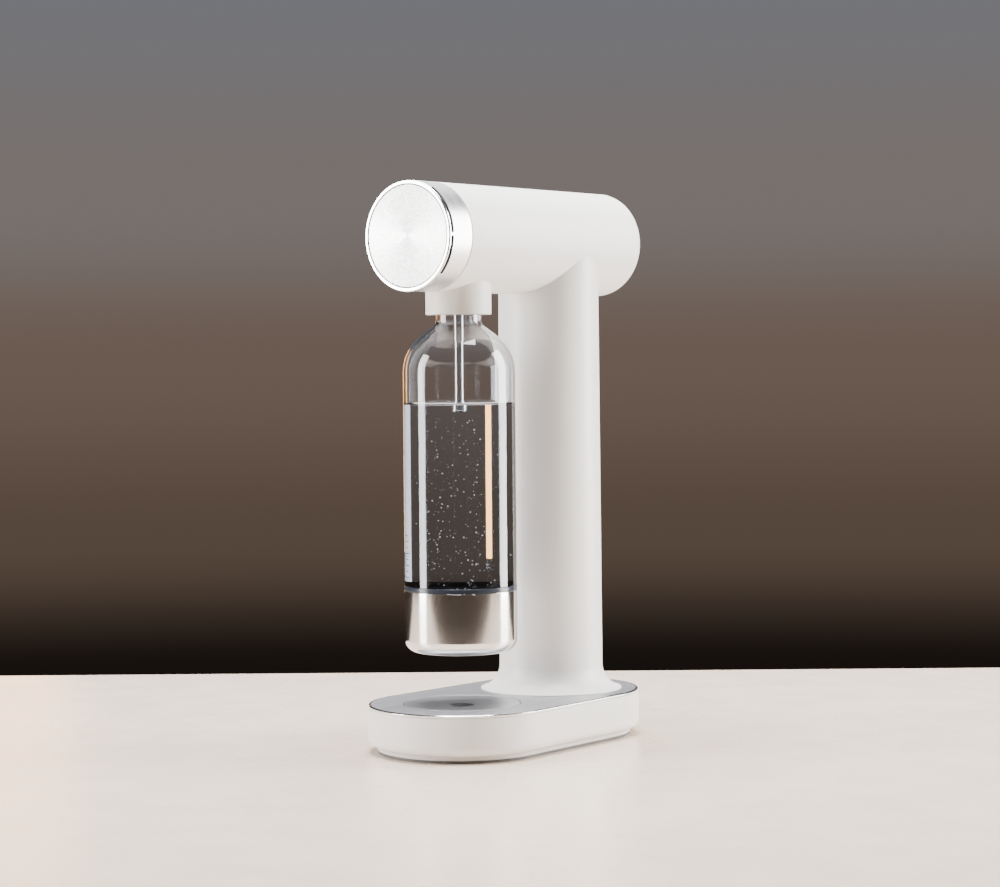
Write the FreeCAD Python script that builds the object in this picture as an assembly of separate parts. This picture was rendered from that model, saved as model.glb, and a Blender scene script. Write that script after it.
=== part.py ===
"""Countertop soda carbonator: a round column on a flat base, a horizontal round head with a
turning knob at its front, and a water bottle that hangs by its neck under the head.

Frame: millimetres, +Z up, +X to the right, -Y towards the user.  The origin is on the table, under
the middle of the whole machine.  Each function makes one node, and each node is one STEP file.
"""
import FreeCAD, Part
import math
import os

# ---- overall sizes -------------------------------------------------------------------------------
depth = 258.4              # front of the base to the rear end of the head
head_axis_z = 390.8        # height of the head's axis above the table
head_rear_reach = 74.0     # column axis to the rear end of the head
base_front_r = 71.9        # base outline, arc about the bottle's axis
base_rear_r = 69.7         # base outline, arc about the column's axis
base_top_z = 36.6          # top of the steel plate on the base
gap = 0.3                  # between pieces that move past each other
running = 0.05             # radial clearance of a shaft in its bush
gas_r = 30.0               # gas cylinder, a standard size: column and head are made round it
bottle_r = 42.8            # water bottle

column_y = depth / 2 - head_rear_reach
bottle_y = -depth / 2 + base_front_r
head_rear_y = depth / 2

# ---- base ----------------------------------------------------------------------------------------
foot_h = 2.0               # rubber foot ring
foot_w = 7.0
foot_inset = 0.6           # from the plinth's edge
plinth_inset = 7.2         # base outline in to the plinth
underside_t = 3.0
casing_wall = 3.0
casing_curve = 7.5         # radius that turns the casing's wall in to the plinth
plate_t = 1.4              # steel plate
plate_inset = 0.45
plate_bevel = 0.7
trim_t = 0.8               # plastic sheet between the casing and the plate
deck_t = 3.0               # top of the casing
frame_t = 3.0              # steel disc under the deck
well_wall = 2.0
tray_over = 1.7            # tray's edge beyond the bottle's cup
tray_lip = 1.2
tray_t = 1.0
tray_dish = 1.5            # depth of the dish
dimple_r = 10.0
dimple_depth = 1.8
tray_skirt = 5.6
boss_r = 4.2
boss_inset = 13.0          # base outline in to the middle of a screw boss
screw_r = 1.3              # small self-tapping screws
screw_head_r = 2.6
screw_head_t = 1.8
screw_free_r = 1.6         # hole that a screw passes freely
screw_l = 14.0
sink = 2.0                 # depth of the recess for a screw's head
bolt_r = 1.6               # larger screws, up into the column's foot
bolt_head_r = 3.2
bolt_bite = 5.0

plate_z = base_top_z - plate_t
trim_z = plate_z - trim_t
deck_z = trim_z - deck_t
frame_z = deck_z - frame_t
underside_z = foot_h
casing_z = underside_z + underside_t
well_floor_z = base_top_z - tray_skirt - gap

# ---- column --------------------------------------------------------------------------------------
column_wall = 2.5
column_taper = 1.2         # radius lost from foot to top
column_top_drop = 60.8     # head axis down to where the column has its top radius
foot_rise = 19.4           # base plate up to where the foot starts to flare
flare_r = 15.0             # how far the foot flares out
flare_edge = 0.6           # upright edge of the flare, on the plate
seam_room = 0.5            # the gas cylinder passes between the seams of the rear cover
rib_t = 2.5                # ribs that carry the magnets
rib_h = 9.0
rib_in = 5.0
magnet_r = 2.0
magnet_t = 1.5
magnet_foot = 14.0         # lowest magnet above the start of the flare
magnet_top = 10.0          # highest magnet below the column's top level
spine_t = 4.0
spine_gap = 1.3            # column wall to spine
spine_half_angle = 48.0
spine_bite = 9.0           # screws into the spine's ends
gas_room = 2.0             # spine to the gas cylinder

column_top_r = gas_r + gas_room + spine_t + spine_gap + column_wall
column_foot_r = column_top_r + column_taper
column_top_z = head_axis_z - column_top_drop
column_foot_z = base_top_z + foot_rise
frame_r = column_foot_r + flare_r
cover_half_w = gas_r + seam_room
low_magnet = column_foot_z + magnet_foot
high_magnet = column_top_z - magnet_top
magnet_levels = (low_magnet, (low_magnet + high_magnet) / 2, high_magnet)

# ---- gas cylinder --------------------------------------------------------------------------------
gas_drop = 14.0            # the cylinder's way down as its thread is undone
gas_shoulder_in = 6.0      # centre of the domed shoulder's arc, off the axis
gas_foot_fillet = 7.0
gas_neck_r = 13.0
gas_thread_r = 10.5
gas_thread_l = 13.0
gas_neck_l = 7.0
gas_wall = 3.0
gas_bore_r = 8.0           # through the neck, closed by the valve
saddle_t = 2.5
saddle_floor = 3.0
saddle_below = 2.2         # its rim below the base frame

gas_shoulder_r = gas_r - gas_shoulder_in

# ---- head and the gas way ------------------------------------------------------------------------
head_over = 1.5            # head's radius beyond the column's
head_wall = 2.6
head_fillet = 9.0
deck_lift = 15.3           # head's lowest line up to the top of the head frame's deck
frame_deck_t = 3.0
frame_side = 1.0           # deck's edge to the head's wall
upright_t = 4.0
upright_half_w = 18.0
upright_top = 10.0         # above the head axis
block_r = 14.0             # valve block and nozzle block
block_flange_r = 18.0
block_flange_t = 3.6
block_top_r = 9.0
block_drop = 16.0          # valve block below the deck
tube_bite = 12.0           # nozzle tube up into its block
block_nut_t = 3.5
block_nut_reach = 4.0
pin_r = 2.4
pin_lift = 2.4             # travel of the push pin
pin_collar_t = 1.2
pin_dome_h = 0.8
pipe_r = 2.5
pipe_wall = 0.8
pipe_nut_l = 6.0
pipe_nut_af = 10.0         # across the flats
pin_collar_over = 2.2      # collar's radius beyond the pin's
spring_wire = 0.7
relief_r = 4.6             # relief valve
relief_stem_r = 3.0
relief_l = 13.0
relief_vent_r = 1.2

head_r = column_top_r + head_over
pin_collar_r = pin_r + pin_collar_over
frame_top_z = head_axis_z - head_r + deck_lift
frame_bottom_z = frame_top_z - frame_deck_t
deck_drop = head_axis_z - frame_bottom_z
frame_half_w = math.sqrt((head_r - head_wall) ** 2 - deck_drop ** 2) - frame_side
pipe_z = frame_top_z + block_nut_t + pipe_nut_af / 2 + 0.5
block_top_z = pipe_z + pipe_r + pipe_wall
socket_z = frame_bottom_z - block_drop     # lower face of the valve block
gas_top_z = socket_z + gas_thread_l
gas_bottom_z = casing_z + saddle_floor + gas_drop

# ---- knob ----------------------------------------------------------------------------------------
knob_turn = 50.0           # degrees from rest to fully open
ring_l = 22.0
ring_wall = 2.5
slot_w = 2.8               # slots in the ring, close behind the rim
slot_bridge = 1.5          # degrees from level to the start of a slot
slot_up = 59.0             # degrees above level where the upper slot ends
slot_down = 44.0           # degrees below level where the lower slot ends
ring_fit = 0.15            # hub drum to the ring's bore
rim_over = 0.2             # rim's radius beyond the head's
rim_l = 1.6
rim_round = 1.2
face_in = 3.0              # disc's radius inside the head's
face_t = 1.2
face_gap = 0.35
knob_reach = 59.3          # bottle's axis to the front of the rim
hub_wall = 2.5
hub_boss_wall = 5.0
hub_boss_l = 25.0
hub_screw_r = 2.0
hub_screw_head_r = 4.5
hub_screw_head_t = 2.4
hub_screw_l = 14.0         # from the hub's front to the screw's tip
hub_web = 5.0              # the shaft stops short of the hub's front by this
shaft_r = 4.0
bush_wall = 2.0
bush_flange_w = 2.0
bush_flange_t = 1.0
cam_wall = 3.0             # cam's metal over the shaft, at rest, where the push pin meets it
cam_w = 8.0
cam_play = 0.2             # cam to the push pin

rim_r = head_r + rim_over
face_r = head_r - face_in
bush_r = shaft_r + bush_wall
bush_flange_r = bush_r + bush_flange_w
hub_boss_r = shaft_r + hub_boss_wall
cam_r = shaft_r + cam_wall

knob_front_y = bottle_y - knob_reach
ring_y = knob_front_y + rim_l
ring_rear_y = ring_y + slot_w + ring_l
head_front_y = ring_rear_y + 0.5
upright_front_y = head_front_y + 10.0
upright_rear_y = column_y + 22.0
cam_rise = pin_lift / math.radians(knob_turn)   # per radian

# ---- bottle and its holder -----------------------------------------------------------------------
bottle_wall = 1.8
bottle_l = 273.1           # underside of the cup to the mouth
cup_over = 0.2             # cup's radius beyond the bottle's
cup_wall = 0.8
cup_h = 47.1
cup_fillet = 10.0
band_h = 3.7
shoulder_r = 34.0
shoulder_sweep = 52.0      # degrees of the shoulder's arc before it runs straight to the neck
neck_r = 17.2
neck_l = 23.42             # mouth down to where the shoulder's straight run meets the neck
neck_wall = 2.6
neck_fillet = 5.0
lug_reach = 3.0
lug_h = 3.6
lug_angle = 36.0           # degrees that one lug takes up
lug_room = 8.0             # degrees that a gap of the ledge is wider than a lug
collar_room = 1.2          # lugs to the holder's bore
collar_wall = 3.6
collar_drop = 16.7         # holder's lower edge below the bottle's mouth
ledge_t = 4.0
tube_r = 3.4
tube_top_r = 3.8
tube_step_drop = 37.1      # below the mouth
tube_bore_r = 1.6
tip_drop = 90.3            # nozzle's lowest point below the mouth
tip_r = 4.2
tip_l = 9.0
jet_r = 0.6
seal_t = 3.0
seal_over = 0.5            # seal's radius beyond the mouth's
flange_over = 0.8          # nozzle block's flange beyond the mouth

mouth_z = head_axis_z - head_r
cup_z = mouth_z - bottle_l
cup_top_z = cup_z + cup_h
bottle_cup_r = bottle_r + cup_over
tray_r = bottle_cup_r + tray_over
arc_end_r = bottle_r - shoulder_r + shoulder_r * math.cos(math.radians(shoulder_sweep))
shoulder_rise = (shoulder_r * math.sin(math.radians(shoulder_sweep))
                 + (arc_end_r - neck_r) / math.tan(math.radians(shoulder_sweep)))
shoulder_z = mouth_z - neck_l - shoulder_rise
collar_z = mouth_z - collar_drop
collar_bore = neck_r + lug_reach + collar_room
collar_r = collar_bore + collar_wall
tube_step_z = mouth_z - tube_step_drop
tip_z = mouth_z - tip_drop
seal_z = mouth_z + gap
block_z = seal_z + seal_t
collar_screw_r = collar_bore + collar_wall / 2
nozzle_flange_r = neck_r + flange_over


# ---- building blocks -----------------------------------------------------------------------------
def disc(radius, z0, z1, x=0.0, y=0.0):
    """Upright round bar."""
    return Part.makeCylinder(radius, z1 - z0, FreeCAD.Vector(x, y, z0))


def tube(outer, inner, z0, z1, x=0.0, y=0.0):
    """Upright round tube."""
    return disc(outer, z0, z1, x, y).cut(disc(inner, z0, z1, x, y))


def lying_disc(radius, y0, y1, x=0.0, z=head_axis_z):
    """Round bar along Y."""
    return Part.makeCylinder(radius, y1 - y0, FreeCAD.Vector(x, y0, z), FreeCAD.Vector(0, 1, 0))


def lying_tube(outer, inner, y0, y1, x=0.0, z=head_axis_z):
    return lying_disc(outer, y0, y1, x, z).cut(lying_disc(inner, y0, y1, x, z))


def block(x0, x1, y0, y1, z0, z1):
    return Part.makeBox(x1 - x0, y1 - y0, z1 - z0, FreeCAD.Vector(x0, y0, z0))


def on_circle(centre, radius, degrees):
    """Point on a circle in a section, as (r, z)."""
    angle = math.radians(degrees)
    return (centre[0] + radius * math.cos(angle), centre[1] + radius * math.sin(angle))


def section(start, *steps):
    """Closed outline of (r, z) points.  A step is a point, or a (through, end) pair for an arc."""
    edges = []
    here = FreeCAD.Vector(start[0], 0, start[1])
    for step in steps + (start,):
        arc = isinstance(step[0], tuple)
        end = step[1] if arc else step
        there = FreeCAD.Vector(end[0], 0, end[1])
        if there.distanceToPoint(here) < 1e-6:
            continue
        if arc:
            through = FreeCAD.Vector(step[0][0], 0, step[0][1])
            edges.append(Part.Arc(here, through, there).toShape())
        else:
            edges.append(Part.makeLine(here, there))
        here = there
    return Part.Face(Part.Wire(edges))


def turned(face, y=0.0):
    """Solid that a section makes as it turns about an upright axis."""
    solid = face.revolve(FreeCAD.Vector(0, 0, 0), FreeCAD.Vector(0, 0, 1), 360)
    solid.translate(FreeCAD.Vector(0, y, 0))
    return solid


def turned_along_y(face, y=0.0):
    """The same about the head's axis: the section's height becomes a distance towards the rear."""
    solid = face.revolve(FreeCAD.Vector(0, 0, 0), FreeCAD.Vector(0, 0, 1), 360)
    solid.rotate(FreeCAD.Vector(0, 0, 0), FreeCAD.Vector(1, 0, 0), -90)
    solid.translate(FreeCAD.Vector(0, y, head_axis_z))
    return solid


def outline(inset):
    """Base outline: an arc about each axis, joined by the two straight sides."""
    front = base_front_r - inset
    rear = base_rear_r - inset
    lean = (front - rear) / (column_y - bottle_y)
    across = math.sqrt(1 - lean ** 2)
    corners = [
        FreeCAD.Vector(front * across, bottle_y + front * lean, 0),
        FreeCAD.Vector(-front * across, bottle_y + front * lean, 0),
        FreeCAD.Vector(-rear * across, column_y + rear * lean, 0),
        FreeCAD.Vector(rear * across, column_y + rear * lean, 0),
    ]
    nose = FreeCAD.Vector(0, bottle_y - front, 0)
    tail = FreeCAD.Vector(0, column_y + rear, 0)
    return Part.Wire([
        Part.Arc(corners[0], nose, corners[1]).toShape(),
        Part.makeLine(corners[1], corners[2]),
        Part.Arc(corners[2], tail, corners[3]).toShape(),
        Part.makeLine(corners[3], corners[0]),
    ])


def slab(inset, z0, z1):
    """Plate with the base's outline."""
    solid = Part.Face(outline(inset)).extrude(FreeCAD.Vector(0, 0, z1 - z0))
    solid.translate(FreeCAD.Vector(0, 0, z0))
    return solid


def edges_at(solid, z):
    """Edges that lie wholly at one height."""
    return [e for e in solid.Edges if abs(e.BoundBox.ZMin - z) < 1e-4 and abs(e.BoundBox.ZMax - z) < 1e-4]


def screw(place, under_head, tip, cap_r=screw_head_r, shank_r=screw_r):
    """Pan-head screw.  under_head and tip are heights; the head lies beyond under_head."""
    x, y = place
    if tip > under_head:
        head = disc(cap_r, under_head - screw_head_t, under_head, x, y)
        return head.fuse(disc(shank_r, under_head, tip, x, y)).removeSplitter()
    head = disc(cap_r, under_head, under_head + screw_head_t, x, y)
    return head.fuse(disc(shank_r, tip, under_head, x, y)).removeSplitter()


def coil(radius, wire, pitch, length):
    """Wire spring standing on the origin.  The wire's section has eight sides."""
    helix = Part.makeHelix(pitch, length, radius)
    corners = [on_circle((radius, 0.0), wire / 2, 45 * n) for n in range(9)]
    ring = Part.makePolygon([FreeCAD.Vector(r, 0, z) for r, z in corners])
    return Part.Wire(helix).makePipeShell([ring], True, True)


def hexagon_along_y(across_flats, y0, y1, z):
    corner = across_flats / math.sqrt(3)
    points = [FreeCAD.Vector(corner * math.cos(math.radians(60 * n)), y0,
                             z + corner * math.sin(math.radians(60 * n))) for n in range(7)]
    return Part.Face(Part.makePolygon(points)).extrude(FreeCAD.Vector(0, y1 - y0, 0))


def cut_all(solid, tools):
    for tool in tools:
        solid = solid.cut(tool)
    return solid


# ---- places that several pieces share ------------------------------------------------------------
def boss_places():
    """Six screws that hold the underside to the casing: front pair, waist pair, rear pair."""
    front = base_front_r - boss_inset
    rear = base_rear_r - boss_inset
    places = []
    for side in (-1, 1):
        places.append(on_circle((0.0, bottle_y), front, -90 + side * 32))
        places.append((side * front, 0.5 * (bottle_y + column_y)))
        places.append(on_circle((0.0, column_y), rear, 90 + side * 32))
    return places


def column_screw_places():
    middle = (column_foot_r - column_wall + column_foot_r + flare_r) / 2 - 2.6
    return [on_circle((0.0, column_y), middle, angle) for angle in (15, 165, 235, 305)]


def spine_screw_places():
    middle = column_top_r - column_wall - spine_gap - spine_t / 2
    return [on_circle((0.0, column_y), middle, -90 + side * 25) for side in (-1, 1)]


def collar_screw_places():
    return [on_circle((0.0, bottle_y), collar_screw_r, angle) for angle in (90, 210, 330)]


def base_bolt_holes(z0, z1):
    return [disc(bolt_r + 2 * running, z0, z1, x, y) for x, y in column_screw_places()]


# ---- base ----------------------------------------------------------------------------------------
def make_foot_ring():
    ring = slab(plinth_inset + foot_inset, 0, foot_h)
    return ring.cut(slab(plinth_inset + foot_inset + foot_w, 0, foot_h))


def make_base_underside():
    plate = slab(plinth_inset, underside_z, casing_z)
    recesses = [disc(screw_head_r + gap, underside_z, underside_z + sink, x, y) for x, y in boss_places()]
    holes = [disc(screw_free_r, underside_z, casing_z, x, y) for x, y in boss_places()]
    return cut_all(plate, recesses + holes)


def make_base_screws():
    return [screw(place, underside_z + sink, casing_z + screw_l) for place in boss_places()]


def make_base_casing():
    outer = slab(0, casing_z, trim_z)
    outer = outer.makeFillet(casing_curve, edges_at(outer, casing_z))
    inner_curve = casing_curve - casing_wall
    inner = slab(casing_wall, casing_z + 0.01, deck_z)
    inner = inner.makeFillet(inner_curve, edges_at(inner, casing_z + 0.01))
    mouth = slab(casing_curve + casing_wall, casing_z - 1, casing_z + casing_wall)
    shell = outer.cut(inner).cut(mouth)
    well = disc(tray_r + gap + well_wall, well_floor_z - well_wall, trim_z, 0, bottle_y)
    bosses = [disc(boss_r, casing_z, deck_z, x, y) for x, y in boss_places()]
    shell = shell.fuse([well] + bosses)
    holes = [disc(screw_r, casing_z, casing_z + screw_l + gap, x, y) for x, y in boss_places()]
    holes.append(disc(tray_r + gap, well_floor_z, trim_z, 0, bottle_y))
    holes.append(disc(column_top_r - column_wall - spine_gap + gap, casing_z, trim_z, 0, column_y))
    return cut_all(shell, holes + base_bolt_holes(casing_z, trim_z)).removeSplitter()


def make_base_trim():
    sheet = slab(0, trim_z, plate_z)
    column_hole = disc(column_foot_r - column_wall, trim_z, plate_z, 0, column_y)
    tray_hole = disc(tray_r + gap, trim_z, plate_z, 0, bottle_y)
    return cut_all(sheet, [column_hole, tray_hole] + base_bolt_holes(trim_z, plate_z))


def make_base_top_plate():
    plate = slab(plate_inset, plate_z, base_top_z)
    plate = plate.makeChamfer(plate_bevel, edges_at(plate, base_top_z))
    column_hole = disc(column_foot_r - column_wall, plate_z, base_top_z, 0, column_y)
    tray_hole = disc(tray_r + gap, plate_z, base_top_z, 0, bottle_y)
    return cut_all(plate, [column_hole, tray_hole] + base_bolt_holes(plate_z, base_top_z))


def make_base_frame():
    plate = disc(frame_r, frame_z, deck_z, 0, column_y)
    clear = [disc(boss_r + 1.0, frame_z, deck_z, x, y) for x, y in boss_places()]
    clear.append(disc(gas_r + gap, frame_z, deck_z, 0, column_y))
    clear.append(disc(tray_r + gap + well_wall + 1.0, frame_z, deck_z, 0, bottle_y))
    clear += [disc(screw_r + running, frame_z, deck_z, x, y) for x, y in spine_screw_places()]
    return cut_all(plate, clear + base_bolt_holes(frame_z, deck_z))


def make_column_screws():
    tip = base_top_z + bolt_bite
    return [screw(place, frame_z, tip, bolt_head_r, bolt_r) for place in column_screw_places()]


def make_cylinder_saddle():
    cup = disc(gas_r + gap + saddle_t, casing_z, frame_z - saddle_below, 0, column_y)
    return cup.cut(disc(gas_r + gap, casing_z + saddle_floor, deck_z, 0, column_y))


def dome_middle(inner, outer):
    """Middle of an arc whose centre is on the axis, from one (r, z) point to another."""
    (r0, z0), (r1, z1) = inner, outer
    centre_z = (z0 + z1) / 2 + (r1 ** 2 - r0 ** 2) / (2 * (z1 - z0))
    radius = math.hypot(r0, z0 - centre_z)
    r = (r0 + r1) / 2
    return (r, centre_z - math.copysign(math.sqrt(radius ** 2 - r ** 2), centre_z - z0))


def make_drip_tray():
    top = base_top_z
    floor = top - tray_dish
    lip = (tray_r - tray_lip, top)
    dimple_edge = (dimple_r, floor)
    dimple_low = (0, floor - dimple_depth)
    under_lip = (tray_r - tray_t, top - tray_t)
    under_edge = (dimple_r, floor - tray_t)
    under_low = (0, floor - dimple_depth - tray_t)
    shape = section(dimple_low,
                    (dome_middle(dimple_low, dimple_edge), dimple_edge),
                    (dome_middle(dimple_edge, lip), lip),
                    (tray_r, top),
                    (tray_r, top - tray_skirt),
                    (tray_r - tray_t, top - tray_skirt),
                    under_lip,
                    (dome_middle(under_edge, under_lip), under_edge),
                    (dome_middle(under_low, under_edge), under_low))
    return turned(shape, bottle_y)


# ---- column --------------------------------------------------------------------------------------
def column_r(z):
    """Outer radius of the column, which tapers a little from foot to top."""
    share = (z - column_foot_z) / (column_top_z - column_foot_z)
    return column_foot_r + (column_top_r - column_foot_r) * share


def whole_column():
    """Column with its flared foot, before the rear cover is parted from it."""
    top = head_axis_z
    edge_z = base_top_z + flare_edge
    drop = column_foot_z - edge_z
    sweep_r = (flare_r ** 2 + drop ** 2) / (2 * flare_r)
    centre = (column_foot_r + sweep_r, column_foot_z)
    end_angle = 180 + math.degrees(math.asin(drop / sweep_r))
    foot = column_foot_r + flare_r
    inner_foot = column_foot_r - column_wall
    shape = section((inner_foot, base_top_z),
                    (foot, base_top_z),
                    (foot, edge_z),
                    (on_circle(centre, sweep_r, (180 + end_angle) / 2), (column_foot_r, column_foot_z)),
                    (column_r(top), top),
                    (column_r(top) - column_wall, top),
                    (inner_foot, column_foot_z))
    return turned(shape, column_y)


def behind_seam(half_width):
    """Space behind the column's axis between the two seams."""
    reach = column_foot_r + flare_r + 5
    return block(-half_width, half_width, column_y, column_y + reach, base_top_z - 1, head_axis_z + 1)


def magnet_discs(side, x0, x1):
    """One upright row of magnets, as bars along X."""
    near, far = sorted((side * x0, side * x1))
    y = column_y + rib_y() + rib_in / 2
    return [Part.makeCylinder(magnet_r, far - near, FreeCAD.Vector(near, y, z), FreeCAD.Vector(1, 0, 0))
            for z in magnet_levels]


def rib_y():
    """Front face of the magnet ribs, behind the column's axis."""
    inner = column_top_r - column_wall
    return math.sqrt(inner ** 2 - (cover_half_w + rib_t) ** 2) - 1.2


def magnet_ribs(x0, x1):
    """Short ribs inside the column's wall, one for each magnet, on both sides."""
    ribs = []
    for side in (-1, 1):
        near, far = sorted((side * x0, side * x1))
        for z in magnet_levels:
            low, high = z - rib_h / 2, z + rib_h / 2
            rib = block(near, far, column_y + rib_y(), column_y + column_foot_r, low, high)
            ribs.append(rib.common(disc(column_r(high) - column_wall / 2, low, high, 0, column_y)))
    return ribs


def make_column_shell():
    x0 = cover_half_w + gap / 2
    shell = whole_column().cut(behind_seam(x0))
    shell = shell.fuse(magnet_ribs(x0, x0 + rib_t))
    shell = shell.cut(lying_disc(head_r, -depth, depth))
    pockets = magnet_discs(-1, x0, x0 + magnet_t) + magnet_discs(1, x0, x0 + magnet_t)
    holes = [disc(bolt_r, base_top_z, base_top_z + bolt_bite, x, y) for x, y in column_screw_places()]
    return cut_all(shell, pockets + holes)


def make_shell_magnets():
    x0 = cover_half_w + gap / 2
    return magnet_discs(-1, x0, x0 + magnet_t) + magnet_discs(1, x0, x0 + magnet_t)


def make_rear_cover():
    x1 = cover_half_w - gap / 2
    cover = whole_column().common(behind_seam(x1))
    cover = cover.fuse(magnet_ribs(x1 - rib_t, x1))
    cover = cover.cut(lying_disc(head_r + gap, -depth, depth))
    cover = cover.cut(disc(depth, base_top_z - 1, base_top_z + gap, 0, column_y))
    return cut_all(cover, magnet_discs(-1, x1 - magnet_t, x1) + magnet_discs(1, x1 - magnet_t, x1))


def make_cover_magnets():
    x1 = cover_half_w - gap / 2
    return magnet_discs(-1, x1 - magnet_t, x1) + magnet_discs(1, x1 - magnet_t, x1)


def make_spine_frame():
    outer = column_top_r - column_wall - spine_gap
    ring = tube(outer, outer - spine_t, deck_z, frame_bottom_z, 0, column_y)
    reach = 3 * column_top_r
    wedge = [FreeCAD.Vector(0, column_y, 0)]
    for side in (-1, 1):
        x, y = on_circle((0.0, column_y), reach, -90 + side * spine_half_angle)
        wedge.append(FreeCAD.Vector(x, y, 0))
    wedge.append(wedge[0])
    front = Part.Face(Part.makePolygon(wedge)).extrude(FreeCAD.Vector(0, 0, head_axis_z))
    spine = ring.common(front)
    deep = spine_bite + 1
    holes = [disc(screw_r, frame_bottom_z - deep, frame_bottom_z, x, y) for x, y in spine_screw_places()]
    holes += [disc(screw_r, deck_z, deck_z + deep, x, y) for x, y in spine_screw_places()]
    return cut_all(spine, holes)


def make_spine_screws():
    top = [screw(place, frame_top_z, frame_bottom_z - spine_bite) for place in spine_screw_places()]
    bottom = [screw(place, frame_z, deck_z + spine_bite) for place in spine_screw_places()]
    return top + bottom


# ---- gas cylinder --------------------------------------------------------------------------------
def make_cylinder_body():
    neck_z = gas_top_z - gas_thread_l - gas_neck_l
    shoulder_base = neck_z - gas_shoulder_r
    centre = (gas_r - gas_shoulder_r, shoulder_base)
    foot = (gas_r - gas_foot_fillet, gas_bottom_z + gas_foot_fillet)
    hollow = 3.0               # how far the underside is pushed in

    def form(inset, throat_r, top_z):
        """Round bar with a domed top and rounded foot, smaller than the outside by inset."""
        dome_r = gas_shoulder_r - inset
        cap_angle = math.degrees(math.acos((throat_r - centre[0]) / dome_r))
        low_z = gas_bottom_z + inset
        return turned(section((0, low_z + hollow),
                              (foot[0] - 4, low_z + hollow),
                              (foot[0], low_z),
                              (on_circle(foot, gas_foot_fillet - inset, -45), (gas_r - inset, foot[1])),
                              (gas_r - inset, shoulder_base),
                              (on_circle(centre, dome_r, cap_angle / 2),
                               on_circle(centre, dome_r, cap_angle)),
                              (throat_r, top_z),
                              (0, top_z)), column_y)

    return form(0, gas_neck_r, neck_z).cut(form(gas_wall, gas_bore_r, neck_z + 1))


def make_cylinder_valve():
    neck_z = gas_top_z - gas_thread_l - gas_neck_l
    shape = section((0, neck_z),
                    (gas_neck_r - 0.8, neck_z),
                    (gas_neck_r, neck_z + 0.8),
                    (gas_neck_r, neck_z + gas_neck_l - 2.3),
                    (gas_neck_r - 0.8, neck_z + gas_neck_l - 1.5),
                    (gas_thread_r - 1.2, neck_z + gas_neck_l - 1.5),
                    (gas_thread_r - 1.2, neck_z + gas_neck_l),
                    (gas_thread_r, neck_z + gas_neck_l + 1.0),
                    (gas_thread_r, gas_top_z - 1.0),
                    (gas_thread_r - 1.0, gas_top_z),
                    (pin_r + 1.0, gas_top_z),
                    (pin_r + 1.0, gas_top_z - 8.0),
                    (0, gas_top_z - 8.0))
    return turned(shape, column_y)


# ---- head ----------------------------------------------------------------------------------------
def make_head_shell():
    length = head_rear_y - head_front_y
    corner = (head_r - head_fillet, length - head_fillet)
    inner_fillet = head_fillet - head_wall
    shape = section((head_r, 0),
                    (head_r, length - head_fillet),
                    (on_circle(corner, head_fillet, 45), (head_r - head_fillet, length)),
                    (0, length),
                    (0, length - head_wall),
                    (head_r - head_fillet, length - head_wall),
                    (on_circle(corner, inner_fillet, 45), (head_r - head_wall, length - head_fillet)),
                    (head_r - head_wall, 0))
    shell = turned_along_y(shape, head_front_y)
    low = head_axis_z - head_r - 1
    holes = [disc(column_top_r - column_wall - spine_gap + gap, low, head_axis_z, 0, column_y),
             disc(collar_bore, low, head_axis_z, 0, bottle_y)]
    holes += [disc(screw_free_r, low, head_axis_z, x, y) for x, y in collar_screw_places()]
    return cut_all(shell, holes)


def make_head_frame():
    rear = upright_rear_y + upright_t
    deck = block(-frame_half_w, frame_half_w, upright_front_y, rear, frame_bottom_z, frame_top_z)
    top = head_axis_z + upright_top
    uprights = [block(-upright_half_w, upright_half_w, y, y + upright_t, frame_top_z, top)
                for y in (upright_front_y, upright_rear_y)]
    frame = deck.fuse(uprights).removeSplitter()
    holes = [disc(block_r, frame_bottom_z, frame_top_z, 0, y) for y in (column_y, bottle_y)]
    holes.append(lying_disc(bush_r, upright_front_y, rear))
    screws = collar_screw_places() + spine_screw_places()
    holes += [disc(screw_free_r, frame_bottom_z, frame_top_z, x, y) for x, y in screws]
    return cut_all(frame, holes)


def make_valve_block():
    body = disc(block_r, socket_z, frame_top_z + block_nut_t, 0, column_y)
    flange = disc(block_flange_r, frame_bottom_z - block_flange_t, frame_bottom_z, 0, column_y)
    top = disc(block_top_r, frame_top_z, block_top_z, 0, column_y)
    whole = body.fuse([flange, top]).removeSplitter()
    socket = disc(gas_thread_r + 2 * running, socket_z, gas_top_z + 1.5, 0, column_y)
    pin_way = disc(pin_r + running, socket_z, block_top_z, 0, column_y)
    port = lying_disc(pipe_r, column_y - block_top_r - 1, column_y - pin_r - 1.5, 0, pipe_z)
    return cut_all(whole, [socket, pin_way, port])


def make_valve_gasket():
    return tube(gas_thread_r - 0.2, pin_r + 1.0, gas_top_z + gap, gas_top_z + 1.5, 0, column_y)


def make_block_nuts():
    top = frame_top_z + block_nut_t
    return [tube(block_r + block_nut_reach, block_r, frame_top_z, top, 0, y) for y in (column_y, bottle_y)]


def make_nozzle_block():
    body = disc(block_r, block_z, frame_top_z + block_nut_t, 0, bottle_y)
    flange = disc(nozzle_flange_r, block_z, block_z + block_flange_t, 0, bottle_y)
    top = disc(block_top_r, frame_top_z, block_top_z, 0, bottle_y)
    whole = body.fuse([flange, top]).removeSplitter()
    tube_way = disc(tube_top_r, block_z, block_z + tube_bite, 0, bottle_y)
    gas_way = disc(tube_bore_r, block_z, pipe_z, 0, bottle_y)
    port = lying_disc(pipe_r, bottle_y + 4, bottle_y + block_top_r + 1, 0, pipe_z)
    side = bar_along_x(relief_stem_r, 4, block_top_r + 4)
    return cut_all(whole, [tube_way, gas_way, port, side])


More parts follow.
